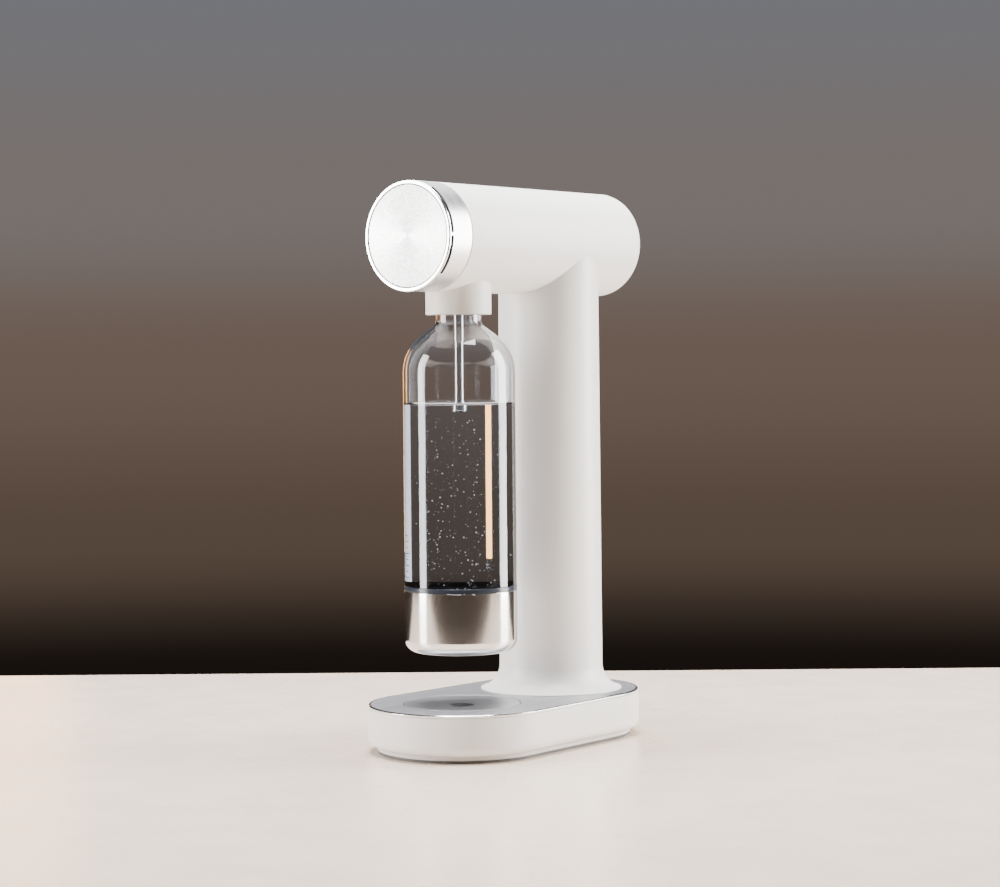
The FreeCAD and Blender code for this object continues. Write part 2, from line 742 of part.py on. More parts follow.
def bar_along_x(radius, x0, x1):
    """Bar along X at the height of the gas pipe, in front of the nozzle block's axis."""
    return Part.makeCylinder(radius, x1 - x0, FreeCAD.Vector(x0, bottle_y, pipe_z), FreeCAD.Vector(1, 0, 0))


def make_relief_valve():
    inner = block_top_r + 1
    outer = inner + relief_l
    body = bar_along_x(relief_stem_r, 4.5, inner + 1).fuse(bar_along_x(relief_r, inner, outer))
    return body.removeSplitter().cut(bar_along_x(relief_vent_r, outer - relief_l / 2, outer + 1))


def make_gas_pipe():
    start = bottle_y + block_top_r - 3
    end = column_y - block_top_r + 3
    return lying_tube(pipe_r, pipe_r - pipe_wall, start, end, 0, pipe_z)


def make_pipe_nuts():
    nuts = []
    front_y = bottle_y + block_top_r - 1
    rear_y = column_y - block_top_r + 1 - pipe_nut_l
    for y0, block_y in ((front_y, bottle_y), (rear_y, column_y)):
        nut = hexagon_along_y(pipe_nut_af, y0, y0 + pipe_nut_l, pipe_z)
        nut = nut.cut(lying_disc(pipe_r, y0, y0 + pipe_nut_l, 0, pipe_z))
        nuts.append(nut.cut(disc(block_top_r, frame_top_z, head_axis_z, 0, block_y)))
    return nuts


def push_pin_top():
    return head_axis_z - cam_r - cam_play


def make_push_pin():
    top = push_pin_top()
    collar_top = top - pin_dome_h
    dome = (pin_r ** 2 + pin_dome_h ** 2) / (2 * pin_dome_h)
    half = math.degrees(math.asin(pin_r / dome)) / 2
    shape = section((0, gas_top_z - 1.0),
                    (pin_r, gas_top_z - 1.0),
                    (pin_r, collar_top - pin_collar_t),
                    (pin_collar_r, collar_top - pin_collar_t),
                    (pin_collar_r, collar_top),
                    (pin_r, collar_top),
                    (on_circle((0, top - dome), dome, 90 - half), (0, top)))
    return turned(shape, column_y)


def make_pin_spring():
    bottom = block_top_z + spring_wire / 2 + 0.05
    top = push_pin_top() - pin_dome_h - pin_collar_t - spring_wire / 2 - 0.05
    spring = coil(pin_r + 1.0, spring_wire, (top - bottom) / 1.5, top - bottom)
    spring.translate(FreeCAD.Vector(0, column_y, bottom))
    return spring


# ---- knob ----------------------------------------------------------------------------------------
def slot_in_ring(first, last):
    """Arc-shaped cutter through the ring's wall; the angles go up from level, on the +X side."""
    shape = section((head_r - ring_wall - 1, 0), (head_r + 1, 0), (head_r + 1, slot_w),
                    (head_r - ring_wall - 1, slot_w))
    cutter = shape.revolve(FreeCAD.Vector(0, 0, 0), FreeCAD.Vector(0, 0, 1), last - first)
    cutter.rotate(FreeCAD.Vector(0, 0, 0), FreeCAD.Vector(0, 0, 1), -last)
    cutter.rotate(FreeCAD.Vector(0, 0, 0), FreeCAD.Vector(1, 0, 0), -90)
    cutter.translate(FreeCAD.Vector(0, ring_y, head_axis_z))
    return cutter


def make_knob_ring():
    ring = lying_tube(head_r, head_r - ring_wall, ring_y, ring_rear_y)
    rear = [e for e in ring.Edges if abs(e.BoundBox.YMin - ring_rear_y) < 1e-4
            and e.BoundBox.XLength > 2 * head_r - 1]
    ring = ring.makeChamfer(0.3, rear)
    right = [slot_in_ring(slot_bridge, slot_up), slot_in_ring(-slot_down, -slot_bridge)]
    left = [slot.mirror(FreeCAD.Vector(0, 0, 0), FreeCAD.Vector(1, 0, 0)) for slot in right]
    return cut_all(ring, right + left)


def make_knob_rim():
    inner = face_r + face_gap
    shape = section((inner, rim_l),
                    (inner, 0.4),
                    (inner + 0.4, 0),
                    (rim_r - rim_round, 0),
                    (on_circle((rim_r - rim_round, rim_round), rim_round, -45), (rim_r, rim_round)),
                    (rim_r, rim_l))
    return turned_along_y(shape, knob_front_y)


def make_knob_face():
    shape = section((0, rim_l),
                    (0, rim_l - face_t),
                    (face_r - 0.3, rim_l - face_t),
                    (face_r, rim_l - face_t + 0.3),
                    (face_r, rim_l))
    return turned_along_y(shape, knob_front_y)


def make_knob_hub():
    drum_r = head_r - ring_wall - ring_fit
    hub = lying_disc(drum_r, ring_y, ring_rear_y - 1)
    hub = hub.cut(lying_disc(drum_r - hub_wall, ring_y + 2 * hub_wall, ring_rear_y))
    hub = hub.fuse(lying_disc(hub_boss_r, ring_y, ring_y + hub_boss_l)).removeSplitter()
    holes = [lying_disc(shaft_r, ring_y + hub_web, ring_y + hub_boss_l + 1),
             lying_disc(hub_screw_r, ring_y, ring_y + hub_web + 1),
             lying_disc(hub_screw_head_r + gap, ring_y, ring_y + hub_screw_head_t + gap)]
    return cut_all(hub, holes)


def make_hub_screw():
    front = ring_y + gap
    rear = front + hub_screw_head_t
    head = lying_disc(hub_screw_head_r, front, rear)
    drive = hexagon_along_y(hub_screw_head_r, front, (front + rear) / 2, head_axis_z)
    shank = lying_disc(hub_screw_r, rear, ring_y + hub_screw_l)
    return head.fuse(shank).removeSplitter().cut(drive)


def make_knob_shaft():
    end = upright_rear_y + upright_t + 2.0
    shaft = lying_disc(shaft_r, ring_y + hub_web, end)
    return shaft.cut(lying_disc(hub_screw_r, ring_y + hub_web, ring_y + hub_screw_l + gap))


def make_valve_cam():
    """Cam whose radius grows evenly with its angle from the bottom, towards +X."""
    lead = 12.0
    steps = 24
    points = []
    for n in range(steps + 1):
        angle = math.radians(-lead + (knob_turn + 2 * lead) * n / steps)
        radius = cam_r + cam_rise * angle
        points.append(FreeCAD.Vector(radius * math.sin(angle), 0, -radius * math.cos(angle)))
    rise = Part.BSplineCurve()
    rise.interpolate(points)
    low, high = points[0], points[-1]
    back_r = (low.Length + high.Length) / 2
    top_angle = math.radians(knob_turn / 2 + 180)
    back = FreeCAD.Vector(back_r * math.sin(top_angle), 0, -back_r * math.cos(top_angle))
    wire = Part.Wire([rise.toShape(), Part.Arc(high, back, low).toShape()])
    cam = Part.Face(wire).extrude(FreeCAD.Vector(0, cam_w, 0))
    cam.translate(FreeCAD.Vector(0, column_y - cam_w / 2, head_axis_z))
    return cam.cut(lying_disc(shaft_r, column_y - cam_w, column_y + cam_w))


def make_shaft_bushes():
    bushes = []
    for y in (upright_front_y, upright_rear_y):
        sleeve = lying_disc(bush_r, y, y + upright_t)
        flange = lying_disc(bush_flange_r, y - bush_flange_t, y)
        bush = sleeve.fuse(flange).removeSplitter()
        bushes.append(bush.cut(lying_disc(shaft_r + running, y - 2, y + upright_t + 2)))
    return bushes


def make_knob_spring():
    start = ring_y + hub_boss_l + 1.0
    end = upright_front_y - bush_flange_t - 1.0
    spring = coil(shaft_r + 2.4, 2 * spring_wire, (end - start) / 2.5, end - start)
    spring.rotate(FreeCAD.Vector(0, 0, 0), FreeCAD.Vector(1, 0, 0), -90)
    spring.translate(FreeCAD.Vector(0, start, head_axis_z))
    return spring


# ---- bottle --------------------------------------------------------------------------------------
def bottle_form(body_r, low_r, floor_z, arc_r, throat_r, fillet_r, foot_fillet, top_z):
    """Solid in the bottle's shape: straight sides, round shoulder, straight cone, neck."""
    centre = (body_r - arc_r, shoulder_z)
    arc_end = on_circle(centre, arc_r, shoulder_sweep)
    sweep = math.radians(shoulder_sweep)
    slope = (math.sin(sweep), math.cos(sweep))
    run = (arc_end[0] - throat_r) / slope[0]
    cut = fillet_r * math.tan(sweep / 2)
    meets_z = arc_end[1] + run * slope[1]
    fillet_start = (throat_r + cut * slope[0], meets_z - cut * slope[1])
    fillet_end = (throat_r, meets_z + cut)
    fillet_centre = (throat_r + fillet_r, meets_z + cut)
    foot = (low_r - foot_fillet, floor_z + foot_fillet)
    shape = section((0, floor_z),
                    (low_r - foot_fillet, floor_z),
                    (on_circle(foot, foot_fillet, -45), (low_r, foot[1])),
                    (low_r, cup_top_z + band_h),
                    (body_r, cup_top_z + band_h + 0.01),
                    (body_r, shoulder_z),
                    (on_circle(centre, arc_r, shoulder_sweep / 2), arc_end),
                    fillet_start,
                    (on_circle(fillet_centre, fillet_r, 180 + shoulder_sweep / 2), fillet_end),
                    (throat_r, top_z),
                    (0, top_z))
    return turned(shape, bottle_y)


def ring_sector(outer, inner, z0, z1, middle, width):
    """Piece of a ring about the bottle's axis: middle and width are in degrees."""
    shape = section((inner, z0), (outer, z0), (outer, z1), (inner, z1))
    sector = shape.revolve(FreeCAD.Vector(0, 0, 0), FreeCAD.Vector(0, 0, 1), width)
    sector.rotate(FreeCAD.Vector(0, 0, 0), FreeCAD.Vector(0, 0, 1), middle - width / 2)
    sector.translate(FreeCAD.Vector(0, bottle_y, 0))
    return sector


def make_bottle_body():
    low_r = bottle_cup_r - cup_wall
    wall = bottle_wall
    outer = bottle_form(bottle_r, low_r, cup_z + cup_wall, shoulder_r, neck_r, neck_fillet,
                        cup_fillet - cup_wall, mouth_z)
    inner = bottle_form(bottle_r - wall, low_r - wall, cup_z + cup_wall + wall, shoulder_r - wall,
                        neck_r - neck_wall, neck_fillet + wall, cup_fillet - cup_wall - wall, mouth_z + 1)
    lug_z = collar_z + ledge_t + gap
    lugs = [ring_sector(neck_r + lug_reach, neck_r - neck_wall / 2, lug_z, lug_z + lug_h, angle, lug_angle)
            for angle in (90, 210, 330)]
    return outer.fuse(lugs).removeSplitter().cut(inner)


def make_bottle_band():
    return tube(bottle_cup_r, bottle_cup_r - cup_wall, cup_top_z, cup_top_z + band_h, 0, bottle_y)


def make_bottle_cup():
    def form(radius, floor_z, fillet, top_z):
        foot = (radius - fillet, floor_z + fillet)
        return turned(section((0, floor_z), (foot[0], floor_z),
                              (on_circle(foot, fillet, -45), (radius, foot[1])),
                              (radius, top_z), (0, top_z)), bottle_y)
    outer = form(bottle_cup_r, cup_z, cup_fillet, cup_top_z)
    return outer.cut(form(bottle_cup_r - cup_wall, cup_z + cup_wall, cup_fillet - cup_wall, cup_top_z + 1))


# ---- bottle holder and nozzle --------------------------------------------------------------------
def make_bottle_collar():
    collar = disc(collar_r, collar_z, head_axis_z, 0, bottle_y)
    collar = collar.makeChamfer(0.5, edges_at(collar, collar_z))
    collar = collar.cut(disc(collar_bore, collar_z + ledge_t, head_axis_z, 0, bottle_y))
    collar = collar.cut(disc(neck_r + 2 * gap, collar_z, head_axis_z, 0, bottle_y))
    gaps = [ring_sector(neck_r + lug_reach + 2 * gap, neck_r, collar_z, collar_z + ledge_t,
                        angle, lug_angle + lug_room) for angle in (30, 150, 270)]
    holes = [disc(screw_r, collar_z + ledge_t + 6, head_axis_z, x, y) for x, y in collar_screw_places()]
    return cut_all(collar, gaps + [lying_disc(head_r, -depth, depth)] + holes)


def make_collar_screws():
    tip = collar_z + ledge_t + 7
    return [screw(place, frame_top_z, tip, screw_head_r - 0.6) for place in collar_screw_places()]


def make_bottle_seal():
    return tube(neck_r + seal_over, tube_top_r, seal_z, block_z, 0, bottle_y)


def make_nozzle_tube():
    shape = section((tube_bore_r, tip_z + tip_l),
                    (tube_r, tip_z + tip_l),
                    (tube_r, tube_step_z - 0.4),
                    (tube_top_r, tube_step_z),
                    (tube_top_r, block_z + tube_bite),
                    (tube_bore_r, block_z + tube_bite))
    return turned(shape, bottle_y)


def make_nozzle_tip():
    shape = section((jet_r, tip_z + 0.5),
                    (tip_r - 1.0, tip_z),
                    (tip_r, tip_z + 1.0),
                    (tip_r, tip_z + tip_l - 2.0),
                    (tube_r, tip_z + tip_l),
                    (tube_bore_r, tip_z + tip_l),
                    (tube_bore_r, tip_z + 3.0),
                    (jet_r, tip_z + 2.0))
    return turned(shape, bottle_y)


# ---- nodes ---------------------------------------------------------------------------------------
NODES = {
    "foot_ring": make_foot_ring,
    "base_underside": make_base_underside,
    "base_screws": make_base_screws,
    "base_casing": make_base_casing,
    "base_trim": make_base_trim,
    "base_top_plate": make_base_top_plate,
    "base_frame": make_base_frame,
    "column_screws": make_column_screws,
    "cylinder_saddle": make_cylinder_saddle,
    "drip_tray": make_drip_tray,
    "column_shell": make_column_shell,
    "shell_magnets": make_shell_magnets,
    "rear_cover": make_rear_cover,
    "cover_magnets": make_cover_magnets,
    "spine_frame": make_spine_frame,
    "spine_screws": make_spine_screws,
    "cylinder_body": make_cylinder_body,
    "cylinder_valve": make_cylinder_valve,
    "head_shell": make_head_shell,
    "head_frame": make_head_frame,
    "valve_block": make_valve_block,
    "valve_gasket": make_valve_gasket,
    "block_nuts": make_block_nuts,
    "nozzle_block": make_nozzle_block,
    "relief_valve": make_relief_valve,
    "gas_pipe": make_gas_pipe,
    "pipe_nuts": make_pipe_nuts,
    "push_pin": make_push_pin,
    "pin_spring": make_pin_spring,
    "knob_ring": make_knob_ring,
    "knob_rim": make_knob_rim,
    "knob_face": make_knob_face,
    "knob_hub": make_knob_hub,
    "hub_screw": make_hub_screw,
    "knob_shaft": make_knob_shaft,
    "valve_cam": make_valve_cam,
    "shaft_bushes": make_shaft_bushes,
    "knob_spring": make_knob_spring,
    "bottle_body": make_bottle_body,
    "bottle_band": make_bottle_band,
    "bottle_cup": make_bottle_cup,
    "bottle_collar": make_bottle_collar,
    "collar_screws": make_collar_screws,
    "bottle_seal": make_bottle_seal,
    "nozzle_tube": make_nozzle_tube,
    "nozzle_tip": make_nozzle_tip,
}

os.makedirs("parts", exist_ok=True)
for name, make in NODES.items():
    made = make()
    shape = Part.makeCompound(made) if isinstance(made, list) else made
    if not shape.isValid():
        print("not valid:", name)
    shape.exportStep(f"parts/{name}.step")
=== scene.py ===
import bmesh
import bpy
import math
import random
from mathutils import Matrix, Vector


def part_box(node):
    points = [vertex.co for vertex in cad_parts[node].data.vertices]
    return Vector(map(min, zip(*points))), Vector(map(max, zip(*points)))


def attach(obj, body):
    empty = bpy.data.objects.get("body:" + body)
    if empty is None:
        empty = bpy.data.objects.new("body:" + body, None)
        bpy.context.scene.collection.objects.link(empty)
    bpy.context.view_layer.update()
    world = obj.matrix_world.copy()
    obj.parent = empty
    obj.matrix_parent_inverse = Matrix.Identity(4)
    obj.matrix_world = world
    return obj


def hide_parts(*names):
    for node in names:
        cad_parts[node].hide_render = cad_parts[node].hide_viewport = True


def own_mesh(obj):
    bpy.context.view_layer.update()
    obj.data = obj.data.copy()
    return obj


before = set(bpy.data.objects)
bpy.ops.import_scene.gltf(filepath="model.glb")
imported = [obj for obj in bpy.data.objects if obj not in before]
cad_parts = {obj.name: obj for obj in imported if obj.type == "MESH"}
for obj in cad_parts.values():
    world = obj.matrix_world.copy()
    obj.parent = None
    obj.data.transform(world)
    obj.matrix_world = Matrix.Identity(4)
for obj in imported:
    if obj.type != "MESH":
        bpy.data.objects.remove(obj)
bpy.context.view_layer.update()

# ---- Camera ----------------------------------------------------------------------------------------
# A long lens about two metres away, a little above the middle of the machine and to its right, so
# that the knob's disc, the bottle and the whole length of the head are seen at once.
turn, tilt, lean = math.radians(38.558), math.radians(1.937), math.radians(-0.464)
eye = Vector((1.2197, -1.5381, 0.2995))
ahead = Vector((-math.sin(turn) * math.cos(tilt), math.cos(turn) * math.cos(tilt), -math.sin(tilt)))
level = Vector((math.cos(turn), math.sin(turn), 0))
above = level.cross(ahead)
side = math.cos(lean) * level + math.sin(lean) * above
top = math.cos(lean) * above - math.sin(lean) * level
lens = bpy.data.cameras.new("camera")
lens.sensor_width = 36
lens.lens = 90.725
camera = bpy.data.objects.new("camera", lens)
bpy.context.scene.collection.objects.link(camera)
camera.matrix_world = Matrix(((side.x, top.x, -ahead.x, eye.x),
                              (side.y, top.y, -ahead.y, eye.y),
                              (side.z, top.z, -ahead.z, eye.z),
                              (0, 0, 0, 1)))
bpy.context.scene.camera = camera

# ---- Table and light -------------------------------------------------------------------------------
# A pale lacquered worktop with a soft gloss, about a metre deep, in a dim warm room.  Large soft lights
# stand to the left and right of the machine and hang over it; a narrow warm one stands far behind.


def finish(name, colour, rough=0.5, metal=0.0):
    """A new finish: the material, its node tree and its shader."""
    made = bpy.data.materials.new(name)
    made.use_nodes = True
    tree = made.node_tree
    shader = tree.nodes["Principled BSDF"]
    shader.inputs["Base Color"].default_value = (*colour, 1)
    shader.inputs["Roughness"].default_value = rough
    shader.inputs["Metallic"].default_value = metal
    return made, tree, shader


def grain(tree, size, stretch=(1, 1, 1), detail=3.0):
    """Uneven grey in space, size in metres; a large stretch makes it change fast along that axis."""
    place = tree.nodes.new("ShaderNodeTexCoord")
    scale = tree.nodes.new("ShaderNodeMapping")
    scale.inputs["Scale"].default_value = stretch
    noise = tree.nodes.new("ShaderNodeTexNoise")
    noise.inputs["Scale"].default_value = 1 / size
    noise.inputs["Detail"].default_value = detail
    tree.links.new(place.outputs["Object"], scale.inputs["Vector"])
    tree.links.new(scale.outputs["Vector"], noise.inputs["Vector"])
    return noise.outputs["Fac"]


def vary_gloss(tree, shader, grey, low, high):
    """Roughness that goes from low to high with the grey."""
    spread = tree.nodes.new("ShaderNodeMapRange")
    spread.inputs["From Min"].default_value = 0.3
    spread.inputs["From Max"].default_value = 0.7
    spread.inputs["To Min"].default_value = low
    spread.inputs["To Max"].default_value = high
    tree.links.new(grey, spread.inputs["Value"])
    tree.links.new(spread.outputs["Result"], shader.inputs["Roughness"])


def vary_colour(tree, shader, grey, dark, light):
    """Colour that goes from dark to light with the grey."""
    ramp = tree.nodes.new("ShaderNodeValToRGB")
    ramp.color_ramp.elements[0].position = 0.3
    ramp.color_ramp.elements[1].position = 0.7
    ramp.color_ramp.elements[0].color = (*dark, 1)
    ramp.color_ramp.elements[1].color = (*light, 1)
    tree.links.new(grey, ramp.inputs["Fac"])
    tree.links.new(ramp.outputs["Color"], shader.inputs["Base Color"])


def emboss(tree, shader, grey, height, strength=1.0):
    """Fine relief, height in metres."""
    bump = tree.nodes.new("ShaderNodeBump")
    bump.inputs["Distance"].default_value = height
    bump.inputs["Strength"].default_value = strength
    tree.links.new(grey, bump.inputs["Height"])
    tree.links.new(bump.outputs["Normal"], shader.inputs["Normal"])


lacquer, tree, shader = finish("table_lacquer", (0.71, 0.585, 0.49))
vary_gloss(tree, shader, grain(tree, 0.05), 0.24, 0.32)
vary_colour(tree, shader, grain(tree, 0.4), (0.695, 0.57, 0.475), (0.72, 0.595, 0.50))
emboss(tree, shader, grain(tree, 0.004), 0.000008)
half_w, near, far, slab_t, slab_round = 1.3, -0.62, 0.44, 0.04, 0.003
beyond = Vector((-level.y, level.x, 0))
slab = bmesh.new()
corners = ((-half_w, near), (half_w, near), (half_w, far), (-half_w, far))
top_face = slab.faces.new([slab.verts.new(level * a + beyond * b) for a, b in corners])
drawn = bmesh.ops.extrude_face_region(slab, geom=[top_face])["geom"]
for corner in [v for v in drawn if isinstance(v, bmesh.types.BMVert)]:
    corner.co.z = -slab_t
upper_edges = [e for e in slab.edges if max(v.co.z for v in e.verts) > -slab_t / 2]
bmesh.ops.bevel(slab, geom=upper_edges, offset=slab_round, segments=4, affect="EDGES", profile=0.5)
bmesh.ops.recalc_face_normals(slab, faces=slab.faces)
table_mesh = bpy.data.meshes.new("table")
slab.to_mesh(table_mesh)
slab.free()
table_mesh.materials.append(lacquer)
table = bpy.data.objects.new("table", table_mesh)
bpy.context.scene.collection.objects.link(table)

room = bpy.data.worlds.new("room")
room.use_nodes = True
bpy.context.scene.world = room
tree = room.node_tree
place = tree.nodes.new("ShaderNodeTexCoord")
parts = tree.nodes.new("ShaderNodeSeparateXYZ")
part_up = tree.nodes.new("ShaderNodeMapRange")
part_up.inputs["From Min"].default_value = -0.5
part_up.inputs["From Max"].default_value = 0.5
walls = tree.nodes.new("ShaderNodeValToRGB")
walls.color_ramp.interpolation = "EASE"
stops = ((0.38, (0.012, 0.009, 0.007)), (0.43, (0.10, 0.070, 0.052)), (0.50, (0.15, 0.108, 0.086)),
         (0.56, (0.19, 0.165, 0.155)), (0.66, (0.17, 0.175, 0.195)), (0.90, (0.08, 0.08, 0.085)))
for n, (where, tone) in enumerate(stops):
    stop = walls.color_ramp.elements[n] if n < 2 else walls.color_ramp.elements.new(where)
    stop.position = where
    stop.color = (*tone, 1)
tree.links.new(place.outputs["Generated"], parts.inputs["Vector"])
tree.links.new(parts.outputs["Z"], part_up.inputs["Value"])
tree.links.new(part_up.outputs["Result"], walls.inputs["Fac"])
tree.links.new(walls.outputs["Color"], tree.nodes["Background"].inputs["Color"])

aim = Vector((0, -0.02, 0.22))
for name, place, width, height, watts, colour in (
        ("light_left", (-1.15, -1.25, 0.55), 0.5, 1.5, 54, (1.0, 0.985, 0.975)),
        ("light_right", (1.12, 1.24, 0.62), 0.7, 1.5, 92, (1.0, 0.98, 0.95)),
        ("light_over", (-0.10, 0.05, 1.70), 1.1, 1.1, 132, (1.0, 0.985, 0.97)),
        ("light_rear", (-3.22, 2.22, 0.35), 0.26, 1.0, 6, (1.0, 0.44, 0.12))):
    lamp = bpy.data.lights.new(name, "AREA")
    lamp.shape = "RECTANGLE"
    lamp.size = width
    lamp.size_y = height
    lamp.energy = watts
    lamp.color = colour
    light = bpy.data.objects.new(name, lamp)
    light.location = place
    light.rotation_euler = (aim - Vector(place)).to_track_quat("-Z", "Y").to_euler()
    light.visible_camera = False
    bpy.context.scene.collection.objects.link(light)

# ---- Rubber foot ring ------------------------------------------------------------------------------
# A flat ring of soft grey rubber under the plinth, cut from sheet and glued into place.  Its edges are
# a little rounded and it carries the whole machine.
MM = 0.001
casing_low, casing_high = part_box("base_casing")
bottle_y = (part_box("bottle_band")[0].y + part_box("bottle_band")[1].y) / 2
column_y = (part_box("cylinder_valve")[0].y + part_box("cylinder_valve")[1].y) / 2
front_r = bottle_y - casing_low.y
rear_r = casing_high.y - column_y
side_lean = math.asin((front_r - rear_r) / (column_y - bottle_y))
round_steps, side_steps = 96, 16


def base_outline(inset, z):
    """The base's outline moved in by inset: a round nose, a round tail and two straight sides."""
    ends = []
    for middle, radius, start, sweep in (
            (bottle_y, front_r - inset, side_lean, -math.pi - 2 * side_lean),
            (column_y, rear_r - inset, math.pi - side_lean, 2 * side_lean - math.pi)):
        bend = [start + sweep * n / round_steps for n in range(round_steps + 1)]
        ends.append([Vector((radius * math.cos(a), middle + radius * math.sin(a), z)) for a in bend])
    nose, tail = ends
    left = [nose[-1].lerp(tail[0], n / side_steps) for n in range(1, side_steps)]
    right = [tail[-1].lerp(nose[0], n / side_steps) for n in range(1, side_steps)]
    return nose + left + tail + right


def rounded(*corners, steps=5, closed=True):
    """Section line through (across, height, radius) corners, each rounded by its own radius."""
    line = []
    count = len(corners)
    for n, (across, height, radius) in enumerate(corners):
        here = Vector((across, height))
        if radius == 0 or (not closed and n in (0, count - 1)):
            line.append((across, height))
            continue
        back = (Vector(corners[n - 1][:2]) - here).normalized()
        on = (Vector(corners[(n + 1) % count][:2]) - here).normalized()
        half = back.angle(on) / 2
        centre = here + (back + on).normalized() * radius / math.sin(half)
        start = here + back * radius / math.tan(half) - centre
        end = here + on * radius / math.tan(half) - centre
        first = math.atan2(start.y, start.x)
        sweep = (math.atan2(end.y, end.x) - first + math.pi) % (2 * math.pi) - math.pi
        for k in range(steps + 1):
            angle = first + sweep * k / steps
            line.append((centre.x + radius * math.cos(angle), centre.y + radius * math.sin(angle)))
    return line


def skin(mesh, outline, line, closed=False):
    """Wall that follows a section line; outline(across, height) gives the ring at each point."""
    rings = []
    for across, height in line:
        ring = outline(across, height)
        if (ring[0] - ring[len(ring) // 2]).length < 1e-7:
            rings.append([mesh.verts.new(ring[0])])
        else:
            rings.append([mesh.verts.new(p) for p in ring])
    for low, high in zip(rings, rings[1:] + rings[:1] if closed else rings[1:]):
        count = max(len(low), len(high))
        for n in range(count):
            m = (n + 1) % count
            corners = [low[n % len(low)], low[m % len(low)], high[m % len(high)], high[n % len(high)]]
            corners = list(dict.fromkeys(corners))
            if len(corners) > 2:
                mesh.faces.new(corners)
    return rings


def web(mesh, *rings):
    """Flat sheet between closed rings that lie in one plane."""
    edges = []
    for ring in rings:
        for a, b in zip(ring, ring[1:] + ring[:1]):
            edges.append(mesh.edges.get((a, b)) or mesh.edges.new((a, b)))
    bmesh.ops.triangle_fill(mesh, use_beauty=True, use_dissolve=False, edges=edges)


def piece(name, mesh, body, slot, made, *nodes, crease=38):
    """Turns the mesh into a shown piece that stands for its nodes."""
    bmesh.ops.remove_doubles(mesh, verts=mesh.verts, dist=2e-7)
    bmesh.ops.dissolve_degenerate(mesh, edges=mesh.edges, dist=1e-8)
    bmesh.ops.recalc_face_normals(mesh, faces=mesh.faces)
    data = bpy.data.meshes.new(name)
    mesh.to_mesh(data)
    mesh.free()
    data.shade_smooth()
    data.set_sharp_from_angle(angle=math.radians(crease))
    data.materials.append(made)
    thing = bpy.data.objects.new(name, data)
    bpy.context.scene.collection.objects.link(thing)
    even = thing.modifiers.new("even_shading", "WEIGHTED_NORMAL")
    even.keep_sharp = True
    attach(thing, body)
    if nodes:
        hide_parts(*nodes)
    return thing


def solid_finish(name, tone, gloss, shades, sizes, depth=0.00001):
    """Rubber, plastic or paint; sizes are the grain of its gloss, of its colour and of its relief."""
    made, tree, shader = finish(name, tone)
    vary_gloss(tree, shader, grain(tree, sizes[0]), *gloss)
    vary_colour(tree, shader, grain(tree, sizes[1]), *shades)
    emboss(tree, shader, grain(tree, sizes[2]), depth)
    return made


rubber = solid_finish("grey_rubber", (0.14, 0.138, 0.135), (0.55, 0.75),
                      ((0.125, 0.123, 0.12), (0.155, 0.153, 0.15)), (0.0015, 0.006, 0.0006), depth=0.00002)
foot_low, foot_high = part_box("foot_ring")
foot_inset = foot_low.y - casing_low.y
foot_w, sole_round, glued_round = 7 * MM, 0.4 * MM, 0.1 * MM
foot = bmesh.new()
skin(foot, base_outline, rounded((foot_inset, 0, sole_round), (foot_inset, foot_high.z, glued_round),
                                 (foot_inset + foot_w, foot_high.z, glued_round),
                                 (foot_inset + foot_w, 0, sole_round)), closed=True)
piece("rubber_foot", foot, "stand", "rubber", rubber, "foot_ring")

# ---- Plinth ----------------------------------------------------------------------------------------
# The moulded cover that closes the base from below.  It is set in from the casing, so that the casing
# seems to float, and six screws in round recesses hold it.


def round_at(middle, x=0.0, count=128):
    """Outline for round walls about an upright axis at (x, middle)."""
    def ring(radius, z):
        return [Vector((x + radius * math.cos(2 * math.pi * n / count),
                        middle + radius * math.sin(2 * math.pi * n / count), z)) for n in range(count)]
    return ring


def screw_middles(node, count):
    """Middles of the like pieces of one node, from its upright clusters of points."""
    found = []
    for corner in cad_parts[node].data.vertices:
        near = [f for f in found if (f[0] - corner.co).xy.length < 8 * MM]
        if near:
            near[0][1].append(corner.co.copy())
        else:
            found.append((corner.co.copy(), [corner.co.copy()]))
    spots = []
    for _, points in found:
        xs = [p.x for p in points]
        ys = [p.y for p in points]
        spots.append(((min(xs) + max(xs)) / 2, (min(ys) + max(ys)) / 2))
    if len(spots) != count:
        raise ValueError(f"{node}: {len(spots)} pieces found, {count} expected")
    return spots


def white_finish(name, tone, gloss):
    """Satin white: even, with the faint orange peel of a sprayed coat."""
    made, tree, shader = finish(name, tone)
    dark = tuple(0.985 * c for c in tone)
    vary_colour(tree, shader, grain(tree, 0.03), dark, tone)
    vary_gloss(tree, shader, grain(tree, 0.012), gloss - 0.03, gloss + 0.03)
    emboss(tree, shader, grain(tree, 0.0013, detail=1.0), 0.000006, 0.6)
    return made


plinth_white = white_finish("plinth_white", (0.80, 0.785, 0.75), 0.5)
under_low, under_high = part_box("base_underside")
plinth_inset = under_low.y - casing_low.y
plinth_round, recess_r, recess_z, shank_r = 0.7 * MM, 2.9 * MM, under_low.z + 2 * MM, 1.6 * MM
plinth = bmesh.new()
edge = skin(plinth, base_outline, rounded((plinth_inset + 1 * MM, under_low.z, 0),
                                          (plinth_inset, under_low.z, plinth_round),
                                          (plinth_inset, under_high.z, 0), closed=False))
lows, highs = [edge[0]], [edge[-1]]
for x, y in screw_middles("base_screws", 6):
    hole = skin(plinth, round_at(y, x, 32), [(recess_r, under_low.z), (recess_r, recess_z),
                                             (shank_r, recess_z), (shank_r, under_high.z)])
    lows.append(hole[0])
    highs.append(hole[-1])
web(plinth, *lows)
web(plinth, *highs)
piece("plinth_cover", plinth, "stand", "white_shell", plinth_white, "base_underside")

